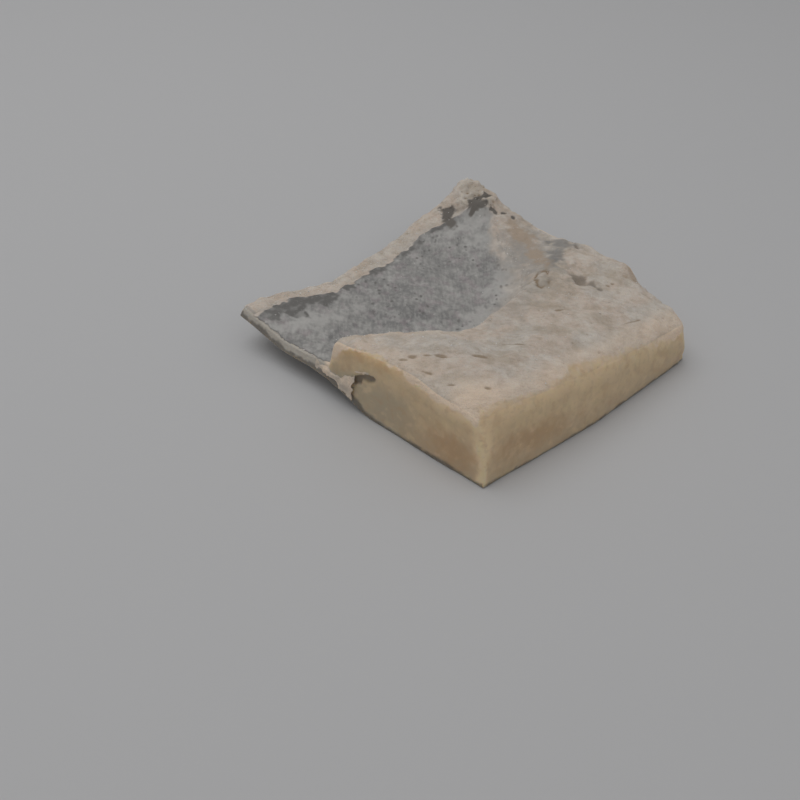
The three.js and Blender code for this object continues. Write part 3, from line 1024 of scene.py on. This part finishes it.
class LING_OT_flesh(bpy.types.Operator):
    """Makes the cured flesh: crust, cuts and flap in one closed surface"""

    bl_idname = "ling.flesh"
    bl_label = "Flesh"

    def execute(self, context):
        fish = Fish(context.scene.ling_sizes)
        lattice, quads, under = block_shell(FLESH_CELLS, UNDER_SPAN)
        points, at = self.bent(fish, lattice)
        points = relaxed(points, quads, self.softness(fish, at), EDGE_ROUNDS)
        masks = self.masks(fish, at)
        height = self.relief(fish, at, masks, points)
        # Relief height, which the finish turns into painted shade in the low spots and paler crust on the
        # high spots
        masks["rise"] = np.clip(0.5 + height / RELIEF_RANGE, 0.0, 1.0)
        points = points + face_normals(points, quads) * (height - self.sunk(masks, at))[:, None]
        points[:, 2] = np.maximum(points[:, 2], LOWEST_FLESH)
        masks["grain"] = np.stack([*fish.grain(at["x"], at["along"]), points[:, 2]], -1)
        material = flesh_material(context.scene.ling_colours)
        piece = add_piece("ling_flesh", points, quads.tolist() + under, material, masks)
        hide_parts(NODE)
        return {"FINISHED"}

    def bent(self, fish, lattice):
        """The block's points bent to the form of the cut, and where each of them lies. The first share of a
        point runs across the section, and the second along the fish. The third runs up from the underside
        to the top, in layers that close up towards the top, and the sides lean in with it.
        """
        share = lattice / np.array(FLESH_CELLS)
        across, rise = share[:, 0], 1 - (1 - share[:, 2]) ** LAYER_POWER
        along = share[:, 1] * fish.length_at(across)
        top_x = fish.plan_x(across, along, 1.0)
        plain = fish.plain(top_x, along)
        top = plain + fish.knobs(top_x, along)
        bottom = fish.underside(fish.plan_x(across, along, 0.0), along, plain)
        bottom = bottom + UNDER_SKIN * fish.s.skin_thick
        x = fish.plan_x(across, along, rise)
        y = fish.front_y + along + fish.s.cut_lean * rise * (1 - 2 * share[:, 1])
        z = mix(bottom, top, rise)
        at = {
            "x": x, "along": along, "z": z, "rise": rise,
            "depth": top - z, "thick": top - bottom, "over": z - bottom,
            "lip": x - fish.lip_x(along), "back": np.abs(fish.back_x(along, 1.0) - x),
            "front": along, "rear": fish.length_at(across) - along, "ridge": fish.ridge_x(along),
        }
        return np.stack([x, y, z], -1), {**at, **self.sides(fish, lattice, at)}

    def sides(self, fish, lattice, at):
        """On which side of the block each point lies, how far it is from the upright edges of its side, and
        how far from any sharp edge.
        """
        on_top = lattice[:, 2] == FLESH_CELLS[2]
        sides = {
            "on_lip": lattice[:, 0] == 0,
            "on_back": lattice[:, 0] == FLESH_CELLS[0],
            "on_front": lattice[:, 1] == 0,
            "on_rear": lattice[:, 1] == FLESH_CELLS[1],
        }
        on_cut = sides["on_front"] | sides["on_rear"]
        from_back = fish.back_x(at["along"], 0.5) - at["x"]
        on_ends = np.minimum(at["front"], at["rear"])
        corner = np.maximum(np.where(on_cut, np.minimum(at["lip"], from_back), on_ends), 0.0)
        inward = np.min([at[name] for name in ("lip", "back", "front", "rear")], axis=0)
        edge = np.where(on_top, inward, np.minimum(at["depth"], corner))
        sides = {name: side & ~on_top for name, side in sides.items()}
        return {"on_top": on_top, "edge": edge, "corner": corner, **sides}

    def softness(self, fish, at):
        """How far each point goes to its neighbours' mean when the edges are relaxed: most at an edge, and
        not at all from the rounding on. The rounding grows from the foot to the top, and from the flap over
        the loin to the near corner.
        """
        flap_round, loin_round, corner_round, foot_round = fish.s.edge_round
        corner = ease_mm(np.hypot(at["back"], at["along"]), 14, 6)
        loin = ease(at["x"], at["ridge"], at["ridge"] + 10 * MM)
        radius = mix(mix(flap_round, loin_round, loin), corner_round, corner)
        radius = mix(foot_round, radius, ease(at["rise"], 0.3, 0.95))
        soft = ease(at["edge"], radius, 0.3 * radius) * ease_mm(at["over"], 0, 3)
        return soft * mix(*EDGE_MOVES, loin)

    def masks(self, fish, at):
        """Masks for the finish, each from 0 to 1 at every point. Noise of three sizes makes their borders
        ragged.
        """
        x, along, z = at["x"], at["along"], at["z"]
        place = np.stack([x, along, z]) / MM
        ragged = noise(*(place / 5.0), seed=41) + 0.6 * noise(*(place / 1.9), seed=42)
        ragged = ragged + 0.35 * noise(*(place / 0.9), seed=43)
        crust = self.crust(at, ragged)
        return {"crust": crust, **self.cuts(fish, at, ragged), **self.marks(fish, at, ragged)}

    def crust(self, at, ragged):
        """Where the crust lies. On the top and down each side, the way past the top's edge is set against
        how far the crust hangs there, shaken by noise, and eased over a soft border. A bead of it runs down
        the front cut by the ridge.
        """
        x, along, depth, on_top = at["x"], at["along"], at["depth"], at["on_top"]
        soft = np.where(on_top, *CRUST_BORDER) * MM
        shake = CRUST_SHAKE * MM * ragged
        sides = {
            "on_front": (along, drawn(FRONT_HANG, x)),
            "on_back": (at["back"], drawn(BACK_HANG, along)),
            "on_rear": (FAR_OFF, REAR_HANG * MM),
        }
        crust = np.ones(len(x))
        for side, (inwards, hang) in sides.items():
            past = np.where(on_top, -inwards, depth)
            reach = ease(past - hang + shake, soft, -soft)
            crust = np.where(on_top | at[side], np.minimum(crust, reach), crust)
        crust = np.where(on_top, np.maximum(crust, mix(0.1, 0.5, ease(ragged, -0.2, 0.9))), crust)
        bead = ease_mm(x - at["ridge"] + 1.2 * MM * ragged, 3.6, 0.6)
        return np.maximum(crust, at["on_front"] * bead * ease_mm(at["z"] + 2 * MM * ragged, 17, 23))

    def cuts(self, fish, at, ragged):
        """Masks of the cut sides: the flap's whitish edge, the dark strip by the skin, which is dark skin
        and, under the torn tongue, painted shadow, painted light as if shining through the flesh at the
        near corner, under the top's edge and on the back, and the tones of the see-through flesh. Each is
        eased over a depth, a height or a distance from an edge, some of them shaken by noise.
        """
        x, along, z, depth = at["x"], at["along"], at["z"], at["depth"]
        front, back, cut = at["on_front"], at["on_back"], at["on_front"] | at["on_rear"]
        foot = fish.foot_x(along)
        flap = ease(x, foot + MM, foot - 5 * MM)
        down = depth / np.maximum(at["thick"], MM) + 0.1 * ragged
        layer = mix(5.5, 0.4, ease(x, foot, foot + 20 * MM)) * MM
        band = ease(at["over"] + 0.9 * MM * ragged, layer + 0.8 * MM, layer - 0.8 * MM)
        pale = cut * mix(0.8 * band, 1.0, flap)
        # Dark skin along the foot, widened under the torn tongue into painted shadow
        strip = np.where(back, 0.7 * MM, drawn(FRONT_STRIP, x))
        base = ease(at["over"] + 0.8 * MM * ragged, strip + 0.8 * MM, strip - 0.8 * MM)
        skin_edge_and_shadow = (cut | back) * 0.75 * base
        # Painted light as if shining through the flesh: at the near corner and along its edge, where it
        # also clears the brown, under the top's edge, over the back edge and on the back face
        corner = (x > 0) * ease_mm(at["corner"] + 0.8 * MM * ragged, 15, 0) ** 2
        painted_glow = corner * mix(0.35, 1.0, ease_mm(z, 4, 22))
        under_top = ease_mm(depth, 11, 1) * ease_mm(x, -8, 28)
        under_top = np.where(back, 0.55, 0.8) * under_top
        over_back = 0.4 * at["on_top"] * ease_mm(at["back"], 7, 0)
        edge_line = (x > 0) * ease_mm(at["corner"], 3.2, 0.4)
        painted_glow = np.maximum.reduce([painted_glow, under_top, 0.8 * edge_line, 0.25 * back])
        brown = np.where(front, ovals(x, z, BROWN, edge=0.8), ovals(along, z, BROWN_BACK, edge=0.8))
        below = depth + MM * ragged
        return {
            "pale": pale,
            "skin_edge_and_shadow": skin_edge_and_shadow,
            "painted_glow": over_back + (front | back) * painted_glow,
            "brown": (front | back) * 0.65 * brown * (1 - 0.7 * edge_line),
            "amber": front * 0.7 * ease_mm(below, 9, 2) * ease_mm(x, 22, 2),
            "dull": front * 0.75 * ease_mm(below, 6, 16) * ease_mm(x, 30, 4),
            "depth": np.where(at["on_top"], 0.2, np.clip(down, 0.0, 1.0)),
        }

    def marks(self, fish, at, ragged):
        """Masks of the crust's marks: pinkish edges, with painted light that brightens the crust on the
        upright sides, dusky patches, the film left where the lining tore, tan flesh, slits, specks, the
        rib's ring, and the hollows, gaps and tears, whose dark inside is painted shade. The strongest of
        several counts.
        """
        x, along, z, on_top, ridge = (at[name] for name in ("x", "along", "z", "on_top", "ridge"))
        upper = on_top + at["on_rear"] * ease_mm(at["depth"], 4, 1)
        knob = near(x, along, KNOB_TONE)
        torn = torn_marks(x, along)
        fringe = fish.lining_mask(x, along, 4 * MM) * ease(ragged, -0.9, 0.5)
        rosy_and_lit = ease_mm(along + 5 * MM * ragged, 24, 2) * ease(x, ridge, ridge + 8 * MM)
        crest = ease_mm(np.abs(x - ridge - 2 * MM), 7, 0) * ease_mm(along, 60, 30)
        corner = near(x, along, ROSY_CORNER)
        lip = ease_mm(at["lip"], 9, 4)
        shoulder = ease_mm(at["back"], 15, 3)
        rosy_and_lit = np.maximum.reduce([0.3 * rosy_and_lit, 0.65 * corner, 0.3 * crest, 0.15 * lip, 0.5 * shoulder])
        film = ovals(x, along, FILM_LEFT, ragged=0.5, edge=0.65)
        veil = oval(x, along, RIDGE_VEIL, ragged=0.5, edge=0.9)
        hem = ease_mm(along, 3, 1.2) * ease(x, ridge - 3 * MM, ridge - 5 * MM)
        specks = spots(x, along, 5.5, 0.4, 0.85, 21) * (x > ridge)
        slits = ovals(x, along, PIN_SLITS, ragged=0.45, edge=0.4)
        ring = oval(x, along, RIB_RING, ragged=0.2, edge=0.34)
        ring = 4 * ring * (1 - ring) * ease(field(x, along, 3.6, 44), -0.2, 0.5)
        freckles = spots(x, along, 2.4, 0.6, 0.9, 22) * knob
        stains = np.maximum.reduce([0.6 * slits, 0.35 * specks, 0.75 * ring, 0.8 * freckles])
        # Gaps and tears, whose dark inside is painted shade
        gaps = upper * ovals(x, along, GAPS, ragged=0.5, edge=0.45)
        tears = at["on_front"] * ovals(x, z, TEARS, ragged=0.3, edge=0.3)
        return {
            # Pinkish tone on the top; on the upright sides but the lip, painted light that brightens the
            # crust
            "rosy_and_lit": np.where(on_top, rosy_and_lit, 0.9 - 0.9 * at["on_lip"]),
            "dusk": on_top * np.maximum(0.5 * ovals(x, along, DUSKY, ragged=0.5, edge=0.8), 0.2 * knob),
            "ashen": on_top * np.maximum.reduce([0.6 * fringe, 0.4 * veil, torn["scar"], 0.6 * hem]),
            "film": on_top * 0.62 * film,
            "tan": upper * torn["tan"],
            # Stains in slits, specks, the ring and the knob's freckles, and painted shade inside gaps,
            # tears and hollows
            "stain_and_shade": np.maximum.reduce([upper * stains, 0.4 * gaps, 0.5 * tears]),
            "hollow": np.maximum.reduce([0.95 * upper * torn["hollow"], 0.5 * gaps, 0.55 * tears]),
        }

    def relief(self, fish, at, masks, points):
        """Height along the normal. Lumps of two sizes lie all over, more of them where the crust is bare,
        and on the rim, the knob, the ridge and the cuts. Short fibres and the steps between flakes, each a
        slow rise and a quick drop, follow the grain over bare crust.
        """
        x, along, on_top = at["x"], at["along"], at["on_top"]
        bare = masks["crust"] * (1 - fish.lining_mask(x, along))
        inward = np.minimum(at["lip"], np.maximum(at["rear"], 0.0))
        crest = ease_mm(np.abs(x - at["ridge"]), 6, 1) * ease_mm(along, 2, 10)
        where = {
            "all_over": 1.0,
            "bare": bare,
            "rim": ease_mm(inward, 7, 2),
            "knob": near(x, along, KNOB_LUMPS),
            "crest": on_top * crest,
            "cuts": at["on_front"] | at["on_back"],
        }
        total = 0.0
        for name, lumps in LUMPS.items():
            for height, size, seed in lumps:
                total = total + where[name] * height * noise(*(points / (size * MM)).T, seed=seed)
        ahead, aside = fish.grain(x, along)
        fibrous = bare * on_top * mix(0.3, 1.0, ease(field(x, along, 13, 52), -0.4, 0.4))
        for height, long, wide, seed in FIBRES:
            total = total + fibrous * height * noise(ahead / (long * MM), aside / (wide * MM), seed=seed)
        flake = (aside + 0.9 * MM * field(ahead, aside, 3.5, 55)) / fish.s.flake_spacing
        share = flake - np.floor(flake)
        steps = (share - ease(share, 0.8, 1.0) - 0.4) * ease(field(x, along, 15, 56), -0.3, 0.4)
        return MM * total + fish.s.flake_step * steps * fibrous

    def sunk(self, masks, at):
        """Depth of slits, hollows and tears."""
        return SLIT_DEPTH * masks["stain_and_shade"] + masks["hollow"] * np.where(at["on_front"], *HOLLOW_DEPTHS)


class LING_OT_lining(bpy.types.Operator):
    """Makes the belly lining: a thin film over the flap, torn off along the step and the rear"""

    bl_idname = "ling.lining"
    bl_label = "Belly lining"

    def execute(self, context):
        fish = Fish(context.scene.ling_sizes)
        at = self.places(fish)
        points, faces = self.film(fish, at)
        masks = {name: both_layers(values) for name, values in self.masks(at).items()}
        masks["grain"] = np.stack([both_layers(at[name]) for name in ("ahead", "aside", "flesh")], -1)
        material = lining_material(context.scene.ling_colours)
        add_piece("ling_lining", points, faces, material, masks)
        return {"FINISHED"}

    def places(self, fish):
        """Where each point lies, on a grid from lip (u = 0) to step (1) and from front (v = 0) to rear (1):
        how far from the lip's rim, from the front and from the torn edges, and how far along and across the
        streaks. Noise tears the front and the rear end.
        """
        u, v = share_grid(LINING_CELLS)
        start = MM * (0.9 + 0.6 * noise(u * 14, 2.0) + 0.4 * noise(u * 45, 3.0) + 3.5 * ease(u, 0.88, 1.0))
        end = fish.lining_end(u) + MM * (1.4 * noise(u * 9, 4.0) + noise(u * 31, 6.0))
        along = mix(start, end, v)
        left, right = fish.lining_sides(along)
        x = mix(left, right, u)
        return {
            "u": u, "x": x, "along": along, "flesh": fish.top(x, along),
            "rim": x - left, "front": along - start, "torn": np.minimum(right - x, end - along),
            "ahead": STREAKS[0] * along - STREAKS[1] * x, "aside": STREAKS[1] * along + STREAKS[0] * x,
        }

    def film(self, fish, at):
        """Closed sheet of the film. With crumbs and folds on it, it rises out of the flesh at the lip's rim
        and at the front, and tucks into it along its torn edges.
        """
        x, along, flesh = at["x"], at["along"], at["flesh"]
        y = fish.y_of(x, along)
        crumbs = 0.12 * field(x, along, 1.6, 71) + 0.12 * field(x, along, 3.6, 72)
        folds = 0.12 * noise(x / (7 * MM), along / (2.2 * MM), seed=73)
        proud = fish.s.lining_proud + MM * (crumbs + folds)
        proud = proud * ease_mm(np.minimum(at["rim"], at["front"]), 0, 0.6)
        proud = mix(-LINING_TUCK, proud, ease_mm(at["torn"], 0, 4))
        front = np.stack([x, y, flesh + proud], -1)
        back = np.stack([x, y, flesh - LINING_SUNK], -1)
        return closed_sheet(front, back)

    def masks(self, at):
        """Masks for the finish: a dark band worn bare beside the lip's rim, a border that fades into crust
        along the torn edges, strewn pores, and the marks of tearing, each shaken by noise.
        """
        x, along, rim = at["x"], at["along"], at["rim"]
        worn = field(x, along, 3.4, 74) + 0.6 * field(x, along, 1.4, 75)
        band = drawn(BARE_BAND, along) * mix(0.5, 1.5, ease(field(along, 0.0, 5, 80), -0.4, 0.4))
        bare = ease(rim + 1.2 * MM * worn, band + 1.2 * MM, band - 1.4 * MM)
        patchy = mix(0.5, 1.0, ease(field(x, along, 1.8, 78), -0.6, 0.2))
        bare = bare * patchy * drawn(BARE_DEPTH, along, unit=1.0)
        spread = mix(2 * MM, 16 * MM, ease_mm(along, 36, 76))
        spread = mix(6 * MM, spread, ease(at["u"], 0.25, 0.6))
        fading = ease(at["torn"] + 0.1 * spread * worn, spread, 0.05 * spread)
        fading = np.maximum(fading, 0.9 - 0.9 * ease_mm(rim + 1.3 * MM * worn, 0.1, 1.1))
        slits = spots(0.55 * at["ahead"], at["aside"], 4.6, 0.5, 0.9, 79)
        pores = np.maximum(spots(x, along, 4.0, 0.5, 1.1, 76), slits)
        pores = pores * ease(field(x, along, 14, 77), -0.5, 0.4) * ease_mm(along, 20, 50)
        torn = torn_marks(x, along)
        return {
            "bare": 0.95 * bare,
            "fading": fading,
            "pores": 0.75 * pores,
            # Painted shade where the flap sags before the step
            "dim": 0.8 * ovals(x, along, SHADED_LINING, ragged=0.5, edge=0.7),
            "frosted": 0.6 * ovals(x, along, FROSTED_LINING, ragged=0.6, edge=0.7),
            "tan": torn["tan"] * fading,
            "ashen": torn["scar"],
            # Painted shade inside the hollows
            "hollow": 0.9 * torn["hollow"],
        }


class LING_OT_torn_tongue(bpy.types.Operator):
    """Makes the torn tongue that hangs over the front cut beside the step, and the shred above it"""

    bl_idname = "ling.torn_tongue"
    bl_label = "Torn tongue"

    def execute(self, context):
        fish = Fish(context.scene.ling_sizes)
        u, v = share_grid(TORN_CELLS)
        points, faces = joined([self.tongue(fish, u, v), self.shred(fish, u, v)])
        x, z = points[:, 0], points[:, 2]
        full = np.ones(len(points))
        masks = {
            "crust": full,
            "rise": np.clip(0.5 + 0.4 * field(x, z, 1.6, 80), 0.0, 1.0),
            "rosy_and_lit": 0.7 * full,
            "pale": mix(0.1, 0.5, ease(field(x, z, 3.0, 90), -0.5, 0.5)),
            "ashen": 0.3 * ease(field(x, z, 2.2, 79), -0.2, 0.7),
        }
        material = flesh_material(context.scene.ling_colours)
        add_piece("torn_tongue", points, faces, material, masks)
        return {"FINISHED"}

    def hung(self, fish, x, z, proud, thick):
        """Closed sheet that hangs before the front cut. Proud is how far it stands out from the cut."""
        y = fish.front_y + fish.s.cut_lean * z / fish.s.ridge_top[0] - proud
        front = np.stack([x, y, z], -1)
        back = np.stack([x, y + thick, z], -1)
        return closed_sheet(front, back)

    def thinned(self, u, v):
        """Share of its thickness that a sheet has: none at its rim and all of it further in."""
        return ease(np.minimum(arch(u), arch(v)), 0.0, 0.3)

    def tongue(self, fish, u, v):
        """From the flap's edge (u = 0) to a ragged end (1), between a torn lower edge (v = 0) and an upper
        edge (1) that climbs and runs into the flesh. It peels off more and more towards its end.
        """
        start, end = TONGUE_ENDS
        end = end + 0.5 * noise(v * 4, 1.0, seed=81) + 0.5 * noise(v * 11, 1.0, seed=82)
        x = MM * mix(start, end, u)
        tear = 0.5 * noise(u * 12, 2.0, seed=83) + 0.4 * noise(u * 29, 2.0, seed=84)
        low = drawn(TONGUE_LOW, x) + MM * tear
        high = drawn(TONGUE_HIGH, x) + 0.6 * MM * noise(u * 9, 3.0, seed=85)
        z = mix(low, high, v)
        proud = mix(0.1, 1.3, ease(u, 0.0, 0.7)) * ease(v, 1.0, 0.4) - 0.4 * ease(v, 0.6, 1.0)
        proud = proud + 0.25 * field(x, z, 2.6, 86) + 0.2 * field(x, z, 1.2, 87)
        return self.hung(fish, x, z, MM * proud, TONGUE_THICK * self.thinned(u, v))

    def shred(self, fish, u, v):
        """A narrow shred that bows over the upper tear, from the tongue's end (u = 0) to its own tip (1).
        Its width goes with the root of half a sine wave, shaken by noise.
        """
        half = 0.8 * np.sqrt(np.maximum(arch(u), 0.02)) * (1 + 0.5 * noise(u * 9, 1.0, seed=88))
        x = MM * mix(*SHRED_ENDS, u)
        z = MM * (mix(*SHRED_HEIGHTS, u) + 0.5 * arch(u) + half * (2 * v - 1))
        proud = 0.4 * arch(u) * (1 - 0.7 * v) + 0.1 + 0.15 * field(x, z, 1.5, 89)
        return self.hung(fish, x, z, MM * proud, SHRED_THICK * self.thinned(u, v))


class LING_OT_salt(bpy.types.Operator):
    """Strews the curing salt: thick along the lip, in patches on the lining, thin on the loin"""

    bl_idname = "ling.salt"
    bl_label = "Curing salt"

    def execute(self, context):
        fish = Fish(context.scene.ling_sizes)
        rng = np.random.default_rng(SALT_SEED)
        across, share, keep = rng.random((3, fish.s.grain_count))
        along = share * fish.length_at(across)
        x = fish.plan_x(across, along, 1.0)
        kept = keep < self.chance(fish, x, along)
        x, along = x[kept], along[kept]
        middle = np.stack([x, fish.y_of(x, along), fish.top(x, along)], -1)
        radius = fish.s.grain_size * np.exp(0.3 * rng.standard_normal(len(x))) / 2
        points, faces = self.grains(rng, middle, radius)
        material = salt_material(context.scene.ling_colours)
        add_piece("salt_grains", points, faces, material, smooth=False)
        return {"FINISHED"}

    def chance(self, fish, x, along):
        """How likely a place keeps its grain: in patches, more on the lining, and most along the lip."""
        lip = ease_mm(x - fish.lip_x(along), 9, 2)
        patch = ease(field(x, along, 8, 91), -0.4, 0.6)
        return np.maximum(mix(0.06, 0.6, fish.lining_mask(x, along)) * patch, 0.6 * lip)

    def grains(self, rng, middle, radius):
        """Cubes with their corners cut to the middles of their edges, each turned at random, flattened a
        little and partly sunk.
        """
        signs = 2 * np.array(list(np.ndindex(2, 2, 2))) - 1
        ends = np.array([(1, 1, 0), (1, 0, 1), (0, 1, 1)])
        corners = np.unique((ends[:, None] * signs).reshape(-1, 3), axis=0)
        turn = np.linalg.qr(rng.standard_normal((len(radius), 3, 3)))[0]
        turn = turn * np.sign(np.linalg.det(turn))[:, None, None]
        shape = corners * rng.uniform(0.7, 1.1, (len(radius), 1, 3))
        grains = np.einsum("nij,nkj->nki", turn, shape) * np.array([1, 1, SALT_FLAT])
        grains = middle[:, None] + (grains + np.array([0, 0, SALT_PROUD])) * radius[:, None, None]
        starts = np.arange(len(radius))[:, None] * len(corners)
        groups = [(starts + face).tolist() for face in grain_faces(corners)]
        return grains.reshape(-1, 3), sum(groups, [])


class LING_OT_skin(bpy.types.Operator):
    """Makes the dried skin that the cut lies on"""

    bl_idname = "ling.skin"
    bl_label = "Skin"

    def execute(self, context):
        fish = Fish(context.scene.ling_sizes)
        points, faces, across = self.layer(fish)
        belly = both_layers(ease(across, 0.65, 0.25))
        material = skin_material(context.scene.ling_colours)
        add_piece("ling_skin", points, faces[:, ::-1], material, {"belly": belly})
        return {"FINISHED"}

    def layer(self, fish):
        """Closed sheet of the skin, and the shares across of its points. Its grid is closer towards the
        edges and stays inside the flesh. The skin lies on the underside, and its rim draws up by half its
        thickness.
        """
        across, share = (mix(value, ease(value), SKIN_CROWDING) for value in share_grid(SKIN_CELLS))
        ends = [2 * np.abs(value - 0.5) for value in (across, share)]
        edges, corners = SKIN_INSET
        inset = edges + corners * (ends[0] * ends[1]) ** SKIN_CORNER_POWER
        across, share = (mix(value, 0.5, 2 * inset) for value in (across, share))
        along = share * fish.length_at(across)
        x = fish.plan_x(across, along, 0.0)
        y = fish.front_y + along
        under = fish.underside(x, along, fish.plain(fish.plan_x(across, along, 1.0), along))
        rim = np.minimum(np.minimum(across, 1 - across), np.minimum(share, 1 - share)) - inset.min()
        thick = fish.s.skin_thick
        outside = np.stack([x, y, under + 0.5 * thick * ease(rim, 0.004, 0.0)], -1)
        inside = np.stack([x, y, under + thick], -1)
        points, faces = closed_sheet(outside, inside)
        return points, faces, across


class LING_OT_stage(bpy.types.Operator):
    """Makes the floor, the soft studio light and the camera"""

    bl_idname = "ling.stage"
    bl_label = "Stage"

    def execute(self, context):
        scene = context.scene
        self.floor(scene)
        self.light(scene)
        self.camera(scene)
        scene.view_settings.view_transform = "Standard"
        return {"FINISHED"}

    def floor(self, scene):
        """Wide round floor, flat near the fish, that sweeps up into a backdrop all round: beyond the flat
        its height grows with the square of the distance.
        """
        s = scene.ling_sizes
        rings, spokes = FLOOR_CELLS
        reaches = np.linspace(FLOOR_HUB, s.floor_radius, rings + 1)
        turns = np.linspace(0, 2 * np.pi, spokes, endpoint=False)
        radius, turn = np.meshgrid(reaches, turns, indexing="ij")
        height = FLOOR_SWEEP * np.maximum(0.0, radius - s.floor_flat) ** 2 - FLOOR_GAP
        points = np.stack([radius * np.cos(turn), radius * np.sin(turn), height], -1)
        place = np.arange(radius.size).reshape(radius.shape)
        after = np.roll(place, -1, axis=1)
        quads = np.stack([place[:-1], place[1:], after[1:], after[:-1]], -1).reshape(-1, 4)
        faces = quads.tolist() + [place[0].tolist()]
        material = floor_material(scene.ling_colours)
        floor = new_object("pale_floor", points.reshape(-1, 3), faces, material)

    def light(self, scene):
        """Even light from all round, and a large soft lamp over the fish."""
        s = scene.ling_sizes
        scene.world = bpy.data.worlds.new("studio_room")
        scene.world.use_nodes = True
        background = scene.world.node_tree.nodes["Background"]
        background.inputs["Color"].default_value = linear("#FFFFFF")
        background.inputs["Strength"].default_value = s.room_light
        lamp = bpy.data.lights.new("soft_lamp", "AREA")
        lamp.shape = "DISK"
        lamp.size = s.lamp_size
        lamp.energy = s.lamp_power
        holder = bpy.data.objects.new("soft_lamp", lamp)
        holder.location = s.lamp_place
        holder.rotation_euler = holder.location.to_track_quat("Z", "Y").to_euler()
        scene.collection.objects.link(holder)

    def camera(self, scene):
        """Camera from its place, azimuth, elevation and roll: it looks down its own -Z."""
        s = scene.ling_sizes
        fish = Fish(s)
        turn, lift, roll = s.camera_azimuth, s.camera_elevation, s.camera_roll
        back = np.array([np.sin(turn) * np.cos(lift), -np.cos(turn) * np.cos(lift), np.sin(lift)])
        level = np.array([np.cos(turn), np.sin(turn), 0.0])
        upright = np.cross(back, level)
        right = np.cos(roll) * level + np.sin(roll) * upright
        up = np.cos(roll) * upright - np.sin(roll) * level
        matrix = np.identity(4)
        matrix[:3, :3] = np.stack([right, up, back], -1)
        matrix[:3, 3] = np.array([fish.back_foot, fish.front_y, 0.0]) + np.array(s.camera_place)
        lens = bpy.data.cameras.new("studio_camera")
        lens.lens = s.camera_lens
        lens.sensor_fit = "HORIZONTAL"
        lens.sensor_width = 36.0
        lens.clip_start = 0.01
        camera = bpy.data.objects.new("studio_camera", lens)
        camera.matrix_world = Matrix(matrix.tolist())
        scene.collection.objects.link(camera)
        scene.camera = camera


class LING_PT_sidebar(bpy.types.Panel):
    """Lists the pieces of the cut, in the order in which they are made"""

    bl_idname = "LING_PT_sidebar"
    bl_label = "Salted dried ling"
    bl_space_type = "VIEW_3D"
    bl_region_type = "UI"
    bl_category = "Ling"

    def draw(self, context):
        for operator in OPERATORS:
            self.layout.operator(operator.bl_idname)


OPERATORS = (LING_OT_flesh, LING_OT_lining, LING_OT_torn_tongue, LING_OT_skin, LING_OT_salt, LING_OT_stage)
CLASSES = (LingSizes, LingColours, *OPERATORS, LING_PT_sidebar)


def register():
    for each in CLASSES:
        bpy.utils.register_class(each)
    bpy.types.Scene.ling_sizes = PointerProperty(type=LingSizes)
    bpy.types.Scene.ling_colours = PointerProperty(type=LingColours)


def unregister():
    del bpy.types.Scene.ling_colours
    del bpy.types.Scene.ling_sizes
    for each in reversed(CLASSES):
        bpy.utils.unregister_class(each)


def main():
    register()
    bpy.ops.ling.flesh()
    bpy.ops.ling.lining()
    bpy.ops.ling.torn_tongue()
    bpy.ops.ling.skin()
    bpy.ops.ling.salt()
    bpy.ops.ling.stage()


if __name__ == "__main__":
    main()
